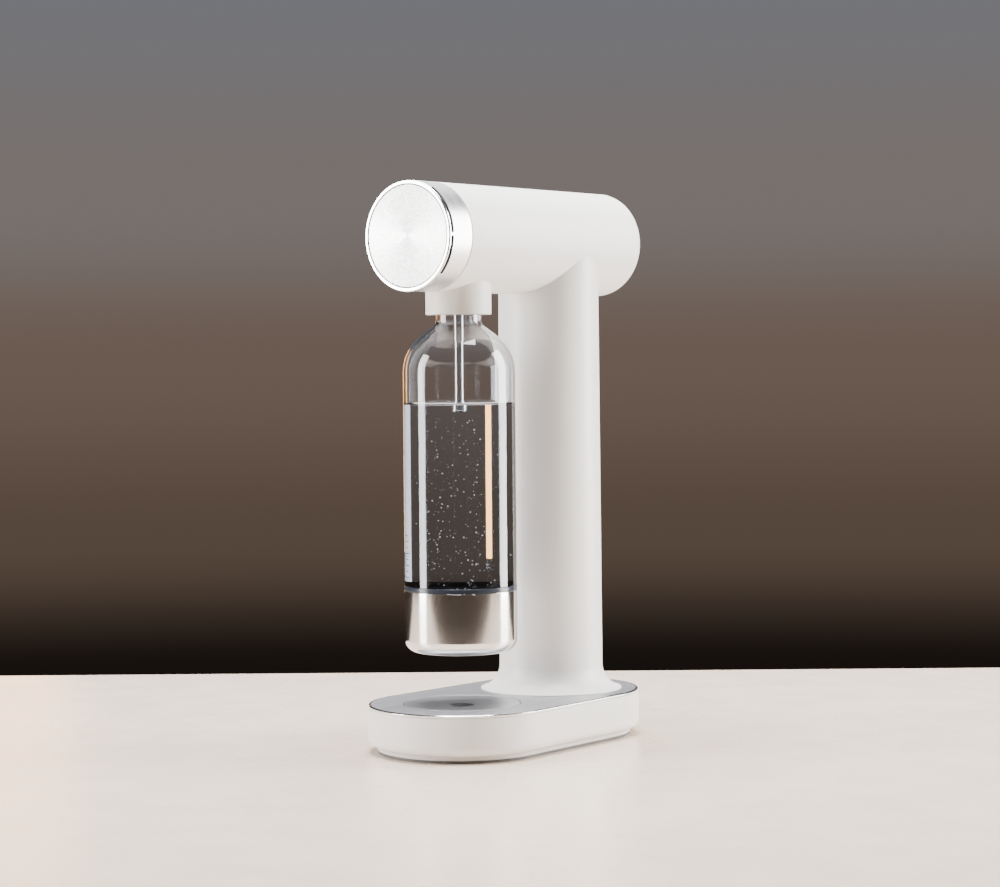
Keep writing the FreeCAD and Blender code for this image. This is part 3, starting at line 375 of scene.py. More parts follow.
# ---- Base casing -----------------------------------------------------------------------------------
# The white moulding of the base.  Its wall curves in at the bottom, its deck has a round well for the
# drip tray and a round hole for the gas cylinder's foot, and it is painted like the column.
shell_white = white_finish("shell_white", (0.84, 0.832, 0.82), 0.38)
deck_z = casing_high.z
deck_under = deck_z - 3 * MM
wall, curve = 3 * MM, 7.5 * MM
tray_low, tray_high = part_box("drip_tray")
tray_r = (tray_high.x - tray_low.x) / 2
tray_gap, well_floor, deck_round = 0.3 * MM, 2 * MM, 0.45 * MM
well_r, well_z = tray_r + tray_gap, tray_low.z - tray_gap
well_out_r, well_out_z = well_r + well_floor, well_z - well_floor
gas_hole_r = 36.3 * MM
casing = bmesh.new()
arc = [(curve - curve * math.sin(a), casing_low.z + curve - curve * math.cos(a))
       for a in (math.pi / 2 * n / 12 for n in range(13))]
inner_arc = [(curve - (curve - wall) * math.sin(a), casing_low.z + curve - (curve - wall) * math.cos(a))
             for a in (math.pi / 2 * n / 8 for n in range(8, -1, -1))]
top_edge = rounded((0, casing_low.z + curve, 0), (0, deck_z, deck_round), (2 * MM, deck_z, 0), closed=False)
outer = skin(casing, base_outline, [(wall, deck_under)] + inner_arc
             + [(curve + wall, casing_low.z + wall), (curve + wall, casing_low.z)] + arc + top_edge[1:])
gas_hole = skin(casing, round_at(column_y), [(gas_hole_r, deck_under), (gas_hole_r, deck_z)])
well_top = skin(casing, round_at(bottle_y), [(well_r, deck_z), (well_r, well_z), (0, well_z)])
well_under = skin(casing, round_at(bottle_y), [(0, well_out_z), (well_out_r, well_out_z),
                                               (well_out_r, deck_under)])
web(casing, outer[-1], gas_hole[1], well_top[0])
web(casing, outer[0], gas_hole[0], well_under[-1])
piece("casing", casing, "stand", "white_shell", shell_white, "base_casing")

# ---- Rim sheet -------------------------------------------------------------------------------------
# A thin white plastic sheet between the casing and the steel plate.  Its lower edge is set back, so
# that it shows as a fine line round the base, and it keeps the plate from scratching the paint.
holder_white = white_finish("holder_white", (0.82, 0.80, 0.765), 0.45)
trim_low, trim_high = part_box("base_trim")
foot_hole_r = 38.5 * MM
set_back, step_z = 1 * MM, trim_low.z + 0.4 * (trim_high.z - trim_low.z)
trim = bmesh.new()
edge = skin(trim, base_outline, rounded((2 * MM, trim_low.z, 0), (set_back, trim_low.z, 0),
                                        (set_back, step_z, 0), (0, step_z, 0.1 * MM),
                                        (0, trim_high.z, 0.2 * MM), (2 * MM, trim_high.z, 0), closed=False))
holes = [skin(trim, round_at(y), [(r, trim_low.z), (r, trim_high.z)])
         for y, r in ((column_y, foot_hole_r), (bottle_y, well_r))]
web(trim, edge[0], *(h[0] for h in holes))
web(trim, edge[-1], *(h[-1] for h in holes))
piece("rim_sheet", trim, "stand", "holder_white", holder_white, "base_trim")

# ---- Steel plate -----------------------------------------------------------------------------------
# Stainless sheet, 1.4 mm, cut to the base's outline, brushed along its length and bevelled all round
# with a bright polished edge.  Adhesive under it holds it down.


def brushed_finish(name, tone, stretch, gloss, depth, streaks=None):
    """Brushed metal, scratched along the axes whose stretch is small; streaks is (stretch, dark, light)."""
    made, tree, shader = finish(name, tone, metal=1.0)
    lines = grain(tree, 1.0, stretch, 4.0)
    vary_gloss(tree, shader, lines, gloss - 0.06, gloss + 0.08)
    if streaks:
        wide, dark, light = streaks
        vary_colour(tree, shader, grain(tree, 1.0, wide, 5.0), dark, light)
    else:
        vary_colour(tree, shader, grain(tree, 0.02), tuple(0.96 * c for c in tone), tone)
    emboss(tree, shader, lines, depth)
    return made


plate_steel = brushed_finish("plate_steel", (0.45, 0.455, 0.49), (2600, 40, 40), 0.46, 0.000009,
                             streaks=((620, 14, 14), (0.37, 0.375, 0.41), (0.50, 0.505, 0.54)))
edge_steel = brushed_finish("edge_steel", (0.74, 0.74, 0.75), (300, 300, 3000), 0.12, 0.000001)
plate_low, plate_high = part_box("base_top_plate")
plate_inset = plate_low.y - casing_low.y
bevel, hole_round = 0.7 * MM, 0.5 * MM
plate = bmesh.new()
edge = skin(plate, base_outline, [(plate_inset + 1 * MM, plate_low.z), (plate_inset, plate_low.z),
                                  (plate_inset, plate_high.z - bevel),
                                  (plate_inset + 0.12 * MM, plate_high.z - bevel + 0.2 * MM),
                                  (plate_inset + bevel - 0.1 * MM, plate_high.z - 0.03 * MM),
                                  (plate_inset + bevel, plate_high.z), (plate_inset + 2 * MM, plate_high.z)])
for face in plate.faces:
    face.material_index = 1
holes = [skin(plate, round_at(y), rounded((r, plate_low.z, 0), (r, plate_high.z, hole_round),
                                          (r + 1 * MM, plate_high.z, 0), closed=False))
         for y, r in ((column_y, foot_hole_r), (bottle_y, well_r))]
web(plate, edge[0], *(h[0] for h in holes))
web(plate, edge[-1], *(h[-1] for h in holes))
steel_plate = piece("steel_plate", plate, "stand", "plate_steel", plate_steel, "base_top_plate", crease=25)
steel_plate.data.materials.append(edge_steel)

# ---- Drip tray -------------------------------------------------------------------------------------
# A shallow pressed steel dish that lifts out.  It is spun, so its brushing runs in rings, and a small
# dimple in the middle gathers the last drops and gives a finger hold.
tray_steel, tree, shader = finish("tray_steel", (0.52, 0.525, 0.555), metal=1.0)
place = tree.nodes.new("ShaderNodeTexCoord")
from_middle = tree.nodes.new("ShaderNodeVectorMath")
from_middle.operation = "SUBTRACT"
from_middle.inputs[1].default_value = (0, bottle_y, tray_high.z)
across = tree.nodes.new("ShaderNodeVectorMath")
across.operation = "LENGTH"
rings = tree.nodes.new("ShaderNodeTexNoise")
rings.noise_dimensions = "1D"
rings.inputs["Scale"].default_value = 2200
rings.inputs["Detail"].default_value = 3
tree.links.new(place.outputs["Object"], from_middle.inputs[0])
tree.links.new(from_middle.outputs["Vector"], across.inputs[0])
tree.links.new(across.outputs["Value"], rings.inputs["W"])
polish = tree.nodes.new("ShaderNodeMapRange")
polish.inputs["From Min"].default_value = 9.5 * MM
polish.inputs["From Max"].default_value = 12.5 * MM
polish.inputs["To Min"].default_value = 0.26
polish.inputs["To Max"].default_value = 0.40
tree.links.new(across.outputs["Value"], polish.inputs["Value"])
tree.links.new(polish.outputs["Result"], shader.inputs["Roughness"])
vary_colour(tree, shader, grain(tree, 0.02), (0.49, 0.495, 0.525), (0.54, 0.545, 0.575))
emboss(tree, shader, rings.outputs["Fac"], 0.000004)
fall, dimple_r, dimple_depth = 1.5 * MM, 10.5 * MM, 1.8 * MM
rim_w, rim_round, sheet_t = 2.2 * MM, 0.7 * MM, 1.0 * MM
top_z, floor_z = tray_high.z, tray_high.z - fall
slope_w = tray_r - dimple_r - rim_w
dish = bmesh.new()
bowl = [(dimple_r * n / 24, floor_z - dimple_depth / 2 * (1 + math.cos(math.pi * (n / 24) ** 1.5)))
        for n in range(24)]
slope = [(dimple_r + slope_w * n / 20, floor_z + fall * (n / 20) ** 2) for n in range(21)]
upper = bowl + slope + rounded((tray_r - rim_w, top_z, 0), (tray_r, top_z, rim_round),
                               (tray_r, tray_low.z, 0), closed=False)[1:]
lower = [(tray_r - sheet_t, tray_low.z), (tray_r - sheet_t, top_z - sheet_t)]
lower += [(r, z - sheet_t) for r, z in reversed(bowl + slope[:-1])]
skin(dish, round_at(bottle_y, count=160), upper + lower)
piece("tray_dish", dish, "drip_tray", "plate_steel", tray_steel, "drip_tray")

# ---- Column ----------------------------------------------------------------------------------------
# The tall white shell over the gas cylinder.  It tapers a little, flares into a wide foot on the
# plate, ends under the round head, and is open at the rear between two straight seams.
head_low, head_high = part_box("head_shell")
knob_low, knob_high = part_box("knob_ring")
head_z = (knob_low.z + knob_high.z) / 2
head_r = (knob_high.z - knob_low.z) / 2
foot_z = 56.0 * MM
foot_r, column_wall, flare = 41.0 * MM, 2.5 * MM, 15.0 * MM
taper = 1.2 / 274.0
flare_z = plate_high.z + 0.6 * MM
flare_curve = (flare ** 2 + (foot_z - flare_z) ** 2) / (2 * flare)
flare_end = math.asin((foot_z - flare_z) / flare_curve)
seam_x = 30.65 * MM
straight_end = head_z - 60 * MM
rib_ahead, rib_behind, rib_half, rib_depth, pocket_r = 2.5 * MM, 3.0 * MM, 4.5 * MM, 2.5 * MM, 2.03 * MM


def column_skin(mesh, seam, low, head_gap, behind, columns):
    """Wall between the seams: the front part, or the part behind if behind is true."""
    foot = [(foot_r + flare_curve - flare_curve * math.cos(a), foot_z - flare_curve * math.sin(a))
            for a in (flare_end * (20 - n) / 20 for n in range(20))]
    foot = [(foot_r + flare, low)] + foot
    levels = [foot_z + (straight_end - foot_z) * n / 30 for n in range(31)]
    loops = []
    for k in range(columns + 1):
        share = 2 * k / columns - 1

        def spot(radius, z):
            half = math.asin(seam / radius)
            angle = math.pi + share * half if behind else share * (math.pi - half)
            return Vector((radius * math.sin(angle), column_y - radius * math.cos(angle), z))

        def radius_at(z):
            return foot_r - taper * (z - foot_z)

        outside = [spot(r, z) for r, z in foot]
        inside = [spot(foot_r - column_wall, z) for r, z in foot]
        for z in levels:
            outside.append(spot(radius_at(z), z))
            inside.append(spot(radius_at(z) - column_wall, z))
        for wall_r, line in ((0, outside), (column_wall, inside)):
            start = line[-1].z
            for n in range(1, 13):
                z = start
                for _ in range(4):
                    x = spot(radius_at(z) - wall_r, z).x
                    end = head_z - math.sqrt((head_r + head_gap) ** 2 - x ** 2)
                    z = start + (end - start) * n / 12
                line.append(spot(radius_at(z) - wall_r, z))
        loops.append(([mesh.verts.new(p) for p in outside], [mesh.verts.new(p) for p in inside]))
    for (out_a, in_a), (out_b, in_b) in zip(loops, loops[1:]):
        for n in range(len(out_a) - 1):
            mesh.faces.new((out_a[n], out_b[n], out_b[n + 1], out_a[n + 1]))
            mesh.faces.new((in_a[n], in_a[n + 1], in_b[n + 1], in_b[n]))
        mesh.faces.new((out_a[0], in_a[0], in_b[0], out_b[0]))
        mesh.faces.new((out_a[-1], out_b[-1], in_b[-1], in_a[-1]))
    for out, inn in (loops[0], loops[-1]):
        for n in range(len(out) - 1):
            mesh.faces.new((out[n], out[n + 1], inn[n + 1], inn[n]))


def magnet_rib(mesh, seat, depth, spot):
    """Small block with a round pocket, open towards seat, that holds one magnet at spot (y, z)."""
    y, z = spot
    border = [(y - rib_ahead, z - rib_half), (y + rib_behind, z - rib_half),
              (y + rib_behind, z + rib_half), (y - rib_ahead, z + rib_half)]
    face = [mesh.verts.new((seat, a, b)) for a, b in border]
    back = [mesh.verts.new((seat + depth, a, b)) for a, b in border]
    for n in range(4):
        mesh.faces.new((face[n], face[(n + 1) % 4], back[(n + 1) % 4], back[n]))
    mesh.faces.new(back)
    circle = [(y + pocket_r * math.cos(math.pi * n / 12), z + pocket_r * math.sin(math.pi * n / 12))
              for n in range(24)]
    mouth = [mesh.verts.new((seat, a, b)) for a, b in circle]
    floor = [mesh.verts.new((seat + 0.62 * depth, a, b)) for a, b in circle]
    for n in range(24):
        mesh.faces.new((mouth[n], mouth[(n + 1) % 24], floor[(n + 1) % 24], floor[n]))
    mesh.faces.new(floor)
    web(mesh, face, mouth)


def magnet_spots(node):
    """(side, y, z) of each magnet in a node."""
    found = {}
    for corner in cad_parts[node].data.vertices:
        key = (corner.co.x > 0, round(corner.co.z / 0.02))
        found.setdefault(key, []).append(corner.co.copy())
    groups = {}
    for (right, _), points in found.items():
        middle_z = sum(p.z for p in points) / len(points)
        near = [g for g in groups if g[0] == right and abs(g[1] - middle_z) < 0.01]
        groups.setdefault(near[0] if near else (right, middle_z), []).extend(points)
    spots = []
    for (right, _), points in groups.items():
        ys = [p.y for p in points]
        zs = [p.z for p in points]
        spots.append((1 if right else -1, (min(ys) + max(ys)) / 2, (min(zs) + max(zs)) / 2))
    return spots


column = bmesh.new()
column_skin(column, seam_x, plate_high.z, 0.0, False, 120)
for hand, y, z in magnet_spots("shell_magnets"):
    magnet_rib(column, hand * seam_x, hand * rib_depth, (y, z))
piece("column", column, "stand", "white_shell", shell_white, "column_shell")

# ---- Rear cover ------------------------------------------------------------------------------------
# The back of the column, a separate white moulding held by six magnets.  It is pulled straight off to
# change the gas cylinder, and stands a hair clear of the head and of the plate.
cover_gap = 0.3 * MM
cover = bmesh.new()
column_skin(cover, seam_x - cover_gap, plate_high.z + cover_gap, cover_gap, True, 64)
for hand, y, z in magnet_spots("cover_magnets"):
    magnet_rib(cover, hand * (seam_x - cover_gap), -hand * rib_depth, (y, z))
piece("back_cover", cover, "rear_cover", "white_shell", shell_white, "rear_cover")

# ---- Head ------------------------------------------------------------------------------------------
# A white tube that lies across the column, closed at the rear with a full round edge.  The lip towards
# the knob is turned over finely, and two round holes below open into the column and the holder.


def lying(radius, y):
    """Outline for round walls about the head's axis."""
    around = [2 * math.pi * n / 144 for n in range(144)]
    return [Vector((radius * math.sin(a), y, head_z + radius * math.cos(a))) for a in around]


def punch(target, radius, y, low, high):
    """Cuts an upright round hole, and welds the slivers that the cut leaves."""
    bar = bmesh.new()
    bmesh.ops.create_cone(bar, cap_ends=True, segments=96, radius1=radius, radius2=radius, depth=high - low,
                          matrix=Matrix.Translation((0, y, (low + high) / 2)))
    data = bpy.data.meshes.new("punch")
    bar.to_mesh(data)
    bar.free()
    tool = bpy.data.objects.new("punch", data)
    bpy.context.scene.collection.objects.link(tool)
    cut = target.modifiers.new("punch", "BOOLEAN")
    cut.operation = "DIFFERENCE"
    cut.solver = "EXACT"
    cut.object = tool
    target.modifiers["even_shading"].show_viewport = False
    bpy.context.view_layer.update()
    graph = bpy.context.evaluated_depsgraph_get()
    done = bpy.data.meshes.new_from_object(target.evaluated_get(graph))
    clean = bmesh.new()
    clean.from_mesh(done)
    bmesh.ops.remove_doubles(clean, verts=clean.verts, dist=0.02 * MM)
    bmesh.ops.dissolve_degenerate(clean, edges=clean.edges, dist=0.005 * MM)
    clean.to_mesh(done)
    clean.free()
    target.modifiers.remove(cut)
    target.modifiers["even_shading"].show_viewport = True
    old = target.data
    target.data = done
    done.name = target.name
    bpy.data.meshes.remove(old)
    bpy.data.objects.remove(tool)
    bpy.data.meshes.remove(data)


front_y, rear_y = head_low.y, head_high.y
head_wall, head_round, lip_round, ring_step = 2.6 * MM, 9.0 * MM, 0.5 * MM, 6 * MM
shell = bmesh.new()
line = rounded((head_r, front_y, lip_round), (head_r, rear_y, head_round), (0, rear_y, 0),
               (0, rear_y - head_wall, 0), (head_r - head_wall, rear_y - head_wall, head_round - head_wall),
               (head_r - head_wall, front_y, 0.3 * MM), steps=12)
dense = []
for a, b in zip(line, line[1:] + line[:1]):
    spans = int(abs(b[1] - a[1]) // ring_step) + 1
    dense += [(a[0] + (b[0] - a[0]) * n / spans, a[1] + (b[1] - a[1]) * n / spans) for n in range(spans)]
skin(shell, lying, dense, closed=True)
head = piece("head_tube", shell, "stand", "white_shell", shell_white, "head_shell")
collar_low, collar_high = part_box("bottle_collar")
collar_r = (collar_high.x - collar_low.x) / 2
bore_r = collar_r - 3.6 * MM
punch(head, gas_hole_r, column_y, head_low.z - 5 * MM, head_z)
punch(head, bore_r, bottle_y, head_low.z - 5 * MM, head_z)
head.data.set_sharp_from_angle(angle=math.radians(38))

# ---- Bottle holder ---------------------------------------------------------------------------------
# A short white plastic collar under the head.  Three gaps in its inner ledge let the lugs of the
# bottle's neck pass, and a turn of the bottle locks them over the ledge.
ledge_r, gap_r, gap_half, first_gap = 17.8 * MM, 20.8 * MM, 22, 30
ledge_top, lead_in, collar_round = collar_low.z + 4 * MM, 2 * MM, 0.6 * MM


def collar_ring(radius, z):
    """Ring of the holder; a radius of None follows the ledge and its gaps."""
    ring = []
    for n in range(180):
        angle = 2 * math.pi * n / 180
        r = radius
        if radius is None:
            off = (math.degrees(angle) - first_gap + 60) % 120 - 60
            r = gap_r if abs(off) < gap_half else ledge_r
        ring.append(Vector((r * math.cos(angle), bottle_y + r * math.sin(angle), z)))
    return ring


def up_to_head(radius):
    """Ring where a wall of that radius meets the round head."""
    ring = []
    for n in range(180):
        angle = 2 * math.pi * n / 180
        x = radius * math.cos(angle)
        z = head_z - math.sqrt(head_r ** 2 - x ** 2)
        ring.append(Vector((x, bottle_y + radius * math.sin(angle), z)))
    return ring


collar = bmesh.new()
inner = skin(collar, collar_ring, [(bore_r, ledge_top + 8 * MM), (bore_r, ledge_top), (None, ledge_top),
                                   (None, collar_low.z), (collar_r - lead_in, collar_low.z)])
outer = skin(collar, collar_ring, rounded((collar_r - lead_in, collar_low.z, 0),
                                          (collar_r, collar_low.z, collar_round),
                                          (collar_r, collar_low.z + 16 * MM, 0), closed=False))
outer_top = [collar.verts.new(p) for p in up_to_head(collar_r)]
inner_top = [collar.verts.new(p) for p in up_to_head(bore_r)]
for low, high in ((outer[-1], outer_top), (inner[0], inner_top), (outer_top, inner_top)):
    for n in range(180):
        m = (n + 1) % 180
        collar.faces.new((low[n], low[m], high[m], high[n]))
piece("bottle_holder", collar, "stand", "holder_white", holder_white, "bottle_collar")

# ---- Knob ------------------------------------------------------------------------------------------
# The front end of the head, which the user turns to let gas in: a brushed steel ring with four narrow
# slots behind the rim, a bright polished rim, and a satin disc let into it with a fine dark gap.
knob_steel = brushed_finish("knob_steel", (0.78, 0.775, 0.785), (40, 3000, 40), 0.36, 0.000006)
rim_steel = brushed_finish("rim_steel", (0.90, 0.90, 0.90), (60, 2500, 60), 0.16, 0.000001)
slot_w, ring_wall, lip_wall = 3.3 * MM, 2.5 * MM, 0.4 * MM
# Ends of the slots in degrees from the top, on the user's right; the other two mirror them.
slots = [(31, 88.5), (91.5, 134)]
slots += [(360 - b, 360 - a) for a, b in slots]
ends = sorted({0.0} | {end + nudge for slot in slots for end in slot for nudge in (-0.15, 0.15)})
angles = []
for a, b in zip(ends, ends[1:] + [ends[0] + 360]):
    cuts = max(1, round((b - a) / 2.2))
    angles += [a + (b - a) * n / cuts for n in range(cuts)]


def slotted(radius, y):
    """Ring of the knob at y; a y of None follows the slots."""
    ring = []
    for degrees in angles:
        open_here = any(a < degrees < b for a, b in slots)
        place = y
        if y is None:
            place = knob_low.y + slot_w if open_here else knob_low.y
        ring.append(Vector((radius * math.sin(math.radians(degrees)), place,
                            head_z + radius * math.cos(math.radians(degrees)))))
    return ring


slots_end, thick_from = knob_low.y + slot_w + 0.3 * MM, knob_low.y + 5 * MM
thick_r, thin_r = head_r - ring_wall, head_r - lip_wall
line = [(head_r, None), (head_r, slots_end)]
line += rounded((head_r, thick_from, 0), (head_r, knob_high.y, 0.55 * MM), (thick_r, knob_high.y, 0.35 * MM),
                (thick_r, thick_from, 0), closed=False)
line += [(thin_r, thick_from), (thin_r, slots_end), (thin_r, None)]
knob_wall = bmesh.new()
skin(knob_wall, slotted, line, closed=True)
piece("knob_band", knob_wall, "knob", "knob_steel", knob_steel, "knob_ring")

face_low, face_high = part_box("knob_face")
face_r = (face_high.x - face_low.x) / 2
rim_front, rim_in, rim_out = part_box("knob_rim")[0].y, face_r + 0.35 * MM, head_r + 0.2 * MM
rim = bmesh.new()
skin(rim, lying, rounded((rim_in, knob_low.y, 0), (rim_in, rim_front, 0.45 * MM),
                         (rim_out, rim_front, 0.9 * MM), (rim_out, knob_low.y, 0.1 * MM), steps=8),
     closed=True)
piece("knob_edge", rim, "knob", "knob_steel", rim_steel, "knob_rim")

disc_satin = brushed_finish("disc_satin", (0.72, 0.71, 0.70), (900, 30, 900), 0.34, 0.0000005)
tree, shader = disc_satin.node_tree, disc_satin.node_tree.nodes["Principled BSDF"]
shader.inputs["Anisotropic"].default_value = 0.75
spun = tree.nodes.new("ShaderNodeTangent")
spun.direction_type = "RADIAL"
spun.axis = "Y"
tree.links.new(spun.outputs["Tangent"], shader.inputs["Tangent"])
disc_r, disc_round = face_r - 0.2 * MM, 0.3 * MM
disc = bmesh.new()
skin(disc, lying, [(disc_r * n / 12, face_low.y) for n in range(12)]
     + rounded((disc_r - 3 * MM, face_low.y, 0), (disc_r, face_low.y, disc_round), (disc_r, knob_low.y, 0),
               closed=False) + [(0, knob_low.y)])
piece("knob_disc", disc, "knob", "knob_disc", disc_satin, "knob_face")

# ---- Bottle ----------------------------------------------------------------------------------------
# A clear blown bottle with a thick wall, a round shoulder and a plain neck.  Three lugs on the neck
# lock it in the holder, and its foot sits in a steel cup.
clear, tree, shader = finish("bottle_clear", (0.94, 0.965, 1.0), rough=0.01)
shader.inputs["Transmission Weight"].default_value = 1.0
shader.inputs["IOR"].default_value = 1.5
emboss(tree, shader, grain(tree, 0.02, (1, 1, 0.25), 1.0), 0.00012, 0.5)
body_low, body_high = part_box("bottle_body")
band_low, band_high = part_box("bottle_band")
cup_low, cup_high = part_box("bottle_cup")
cup_r = (band_high.x - band_low.x) / 2
bottle_r, neck_r = cup_r - 0.2 * MM, 17.2 * MM
mouth_z = body_high.z
sweep = math.radians(52)
shoulder_arc = 34 * MM
shoulder_z = mouth_z - 60.0 * MM
wall, neck_wall, mouth_round = 1.8 * MM, 2.6 * MM, 0.8 * MM
lug_low, lug_t, lug_reach, lug_half, first_lug = ledge_top + 0.3 * MM, 3.6 * MM, 3 * MM, 18, 90


def bottle_line(radius, foot_r, floor, arc, throat, bend, foot_round):
    """Upright section of one side of the wall, from the middle of the floor to the neck."""
    line = [(foot_r * 0.35 * n / 5, floor + 0.002 * (1 - (n / 5) ** 2)) for n in range(6)]
    line += rounded((foot_r * 0.35, floor, 0), (foot_r, floor, foot_round), (foot_r, band_low.z, 0),
                    steps=8, closed=False)[1:]
    line += [(foot_r, band_high.z), (radius, band_high.z + 0.3 * MM), (radius, shoulder_z)]
    middle = radius - arc
    bow = [sweep * n / 24 for n in range(1, 25)]
    line += [(middle + arc * math.cos(a), shoulder_z + arc * math.sin(a)) for a in bow]
    end_r, end_z = line[-1]
    meet = end_z + (end_r - throat) / math.tan(sweep)
    line += rounded((end_r, end_z, 0), (throat, meet, bend), (throat, mouth_z - 8 * MM, 0),
                    steps=10, closed=False)[1:-1]
    return line


def neck_ring(radius, z):
    """Ring about the bottle's axis; a radius of None follows the lugs."""
    ring = []
    for n in range(180):
        angle = 2 * math.pi * n / 180
        r = radius
        if radius is None:
            off = (math.degrees(angle) - first_lug + 60) % 120 - 60
            r = neck_r + lug_reach if abs(off) < lug_half else neck_r
        ring.append(Vector((r * math.cos(angle), bottle_y + r * math.sin(angle), z)))
    return ring


glass = bmesh.new()
low_r, neck_in = cup_r - 0.85 * MM, neck_r - neck_wall
outside = bottle_line(bottle_r, low_r, body_low.z + 0.05 * MM, shoulder_arc, neck_r, 5 * MM, 9 * MM)
inside = bottle_line(bottle_r - wall, low_r - wall, body_low.z + wall, shoulder_arc - wall, neck_in,
                     6.8 * MM, 7.4 * MM)
lugs = [(neck_r, lug_low), (None, lug_low), (None, lug_low + lug_t), (neck_r, lug_low + lug_t)]
lip = rounded((neck_r, mouth_z - 4 * MM, 0), (neck_r, mouth_z, mouth_round), (neck_in, mouth_z, mouth_round),
              (neck_in, mouth_z - 4 * MM, 0), closed=False)
skin(glass, neck_ring, outside + lugs + lip + inside[::-1])
piece("clear_bottle", glass, "bottle", "bottle_clear", clear, "bottle_body")

# ---- Water -----------------------------------------------------------------------------------------
# Sparkling water fills the bottle to just over the nozzle's tip and climbs a little up the wall.  It
# meets the wall without a film of air, and small bubbles hang in it, more of them low in the middle.
# The bubbles glow faintly of their own: a painted glint.
water_clear, tree, shader = finish("water_clear", (0.80, 0.88, 0.98), rough=0.0)
shader.inputs["Transmission Weight"].default_value = 1.0
shader.inputs["IOR"].default_value = 1.333
emboss(tree, shader, grain(tree, 0.03, detail=1.0), 0.00006, 0.3)
tip_low, tip_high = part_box("nozzle_tip")
water_z = tip_low.z + 5.6 * MM
overlap, climb, climb_w, inner_r = 0.15 * MM, 1.1 * MM, 3.2 * MM, bottle_r - wall
line = [(r + overlap if r > 20 * MM else r, z - overlap if r < low_r - wall - 1 * MM else z)
        for r, z in inside if z < band_high.z]
line += [(inner_r + overlap, band_high.z + 0.5 * MM), (inner_r + overlap, water_z + climb)]
line += [(inner_r - climb_w * n / 8, water_z + climb * (1 - n / 8) ** 2.4) for n in range(9)]
line += [((inner_r - climb_w) * (1 - n / 12), water_z) for n in range(1, 13)]
water = bmesh.new()
skin(water, round_at(bottle_y, count=180), line)
piece("water", water, "bottle", "bottle_clear", water_clear)

bubble_glow, tree, shader = finish("bubble_glow", (0.97, 0.98, 1.0))
# Painted glint: the bubbles emit a faint light of their own, in place of the light they would catch.
shader.inputs["Emission Color"].default_value = (0.9, 0.95, 1.0, 1)
shader.inputs["Emission Strength"].default_value = 0.5
vary_gloss(tree, shader, grain(tree, 0.0004), 0.05, 0.2)
random.seed(11)
bubbles = bmesh.new()
for n in range(260):
    rise = random.random() ** 1.35
    reach = (0.35 + 0.65 * random.random()) if random.random() < 0.35 else 0.5 * random.random() ** 0.5
    angle = random.uniform(0, 2 * math.pi)
    radius = (inner_r - 1.5 * MM) * reach
    size = MM * (0.20 + 0.26 * random.random() ** 2)
    where = Vector((radius * math.cos(angle), bottle_y + radius * math.sin(angle),
                    cup_high.z - 25 * MM + (water_z - cup_high.z + 15 * MM) * rise))
    bmesh.ops.create_icosphere(bubbles, subdivisions=2, radius=size, matrix=Matrix.Translation(where))
piece("bubbles", bubbles, "bottle", "bottle_clear", bubble_glow, crease=80)

# ---- Cup and band ----------------------------------------------------------------------------------
# A deep drawn stainless cup, polished, pressed onto the bottle's foot.  A dark glossy band of plastic
# seals the joint above it.
cup_steel = brushed_finish("cup_steel", (0.78, 0.77, 0.765), (900, 900, 12000), 0.105, 0.00000003)
cup_wall, cup_round, brim_round = 0.8 * MM, 10 * MM, 0.3 * MM
cup_in, cup_floor = cup_r - cup_wall, cup_low.z + cup_wall
dent_z, dent_r, dent_end, flat_r = cup_low.z + 1.2 * MM, 18 * MM, 20 * MM, 21 * MM
line = [(0, dent_z), (dent_r, dent_z), (dent_end, cup_low.z + 0.4 * MM)]
line += rounded((flat_r, cup_low.z, 0), (cup_r, cup_low.z, cup_round), (cup_r, cup_high.z, brim_round),
                (cup_in, cup_high.z, brim_round), (cup_in, cup_high.z - 8 * MM, 0), steps=14, closed=False)
line += rounded((cup_in, cup_low.z + 20 * MM, 0), (cup_in, cup_floor, cup_round - cup_wall),
                (flat_r, cup_floor, 0), steps=8, closed=False)
line += [(dent_end, dent_z), (dent_r, dent_z + cup_wall), (0, dent_z + cup_wall)]
cup = bmesh.new()
skin(cup, round_at(bottle_y, count=180), line)
piece("steel_cup", cup, "bottle", "cup_steel", cup_steel, "bottle_cup")

band_dark, tree, shader = finish("band_dark", (0.02, 0.027, 0.04), rough=0.18)
vary_gloss(tree, shader, grain(tree, 0.004), 0.14, 0.24)
vary_colour(tree, shader, grain(tree, 0.01), (0.018, 0.024, 0.036), (0.024, 0.031, 0.046))
band = bmesh.new()
skin(band, round_at(bottle_y, count=180),
     rounded((cup_r, band_low.z, 0.4 * MM), (cup_r, band_high.z, 0.6 * MM), (cup_in, band_high.z, 0.1 * MM),
             (cup_in, band_low.z, 0.1 * MM)), closed=True)
piece("dark_band", band, "bottle", "band_plastic", band_dark, "bottle_band")

# ---- Level marks -----------------------------------------------------------------------------------
# Fine printed lines low on the bottle's wall, long and short in turn, in the band's dark colour.  They
# are a film of ink, so they lie on the wall and turn with it.
first_mark, mark_step, mark_w = band_high.z + 7 * MM, 4.5 * MM, 0.5 * MM
film_in, film_out = bottle_r + 0.01 * MM, bottle_r + 0.05 * MM
marks_at, long_half, short_half = math.radians(-122), math.radians(6.5), math.radians(4.2)
ink = bmesh.new()
for n in range(8):
    low, half = first_mark + n * mark_step, short_half if n % 2 else long_half
    around = [marks_at + half * (k / 5 - 1) for k in range(11)]
    rows = []
    for z, radius in ((low, film_in), (low, film_out), (low + mark_w, film_in), (low + mark_w, film_out)):
        rows.append([ink.verts.new((radius * math.cos(a), bottle_y + radius * math.sin(a), z))
                     for a in around])
    low_in, low_out, high_in, high_out = rows
    for a, b in ((low_in, low_out), (low_out, high_out), (high_out, high_in), (high_in, low_in)):
        for k in range(10):
            ink.faces.new((a[k], a[k + 1], b[k + 1], b[k]))
    for k in (0, 10):
        ink.faces.new((low_in[k], low_out[k], high_out[k], high_in[k]))
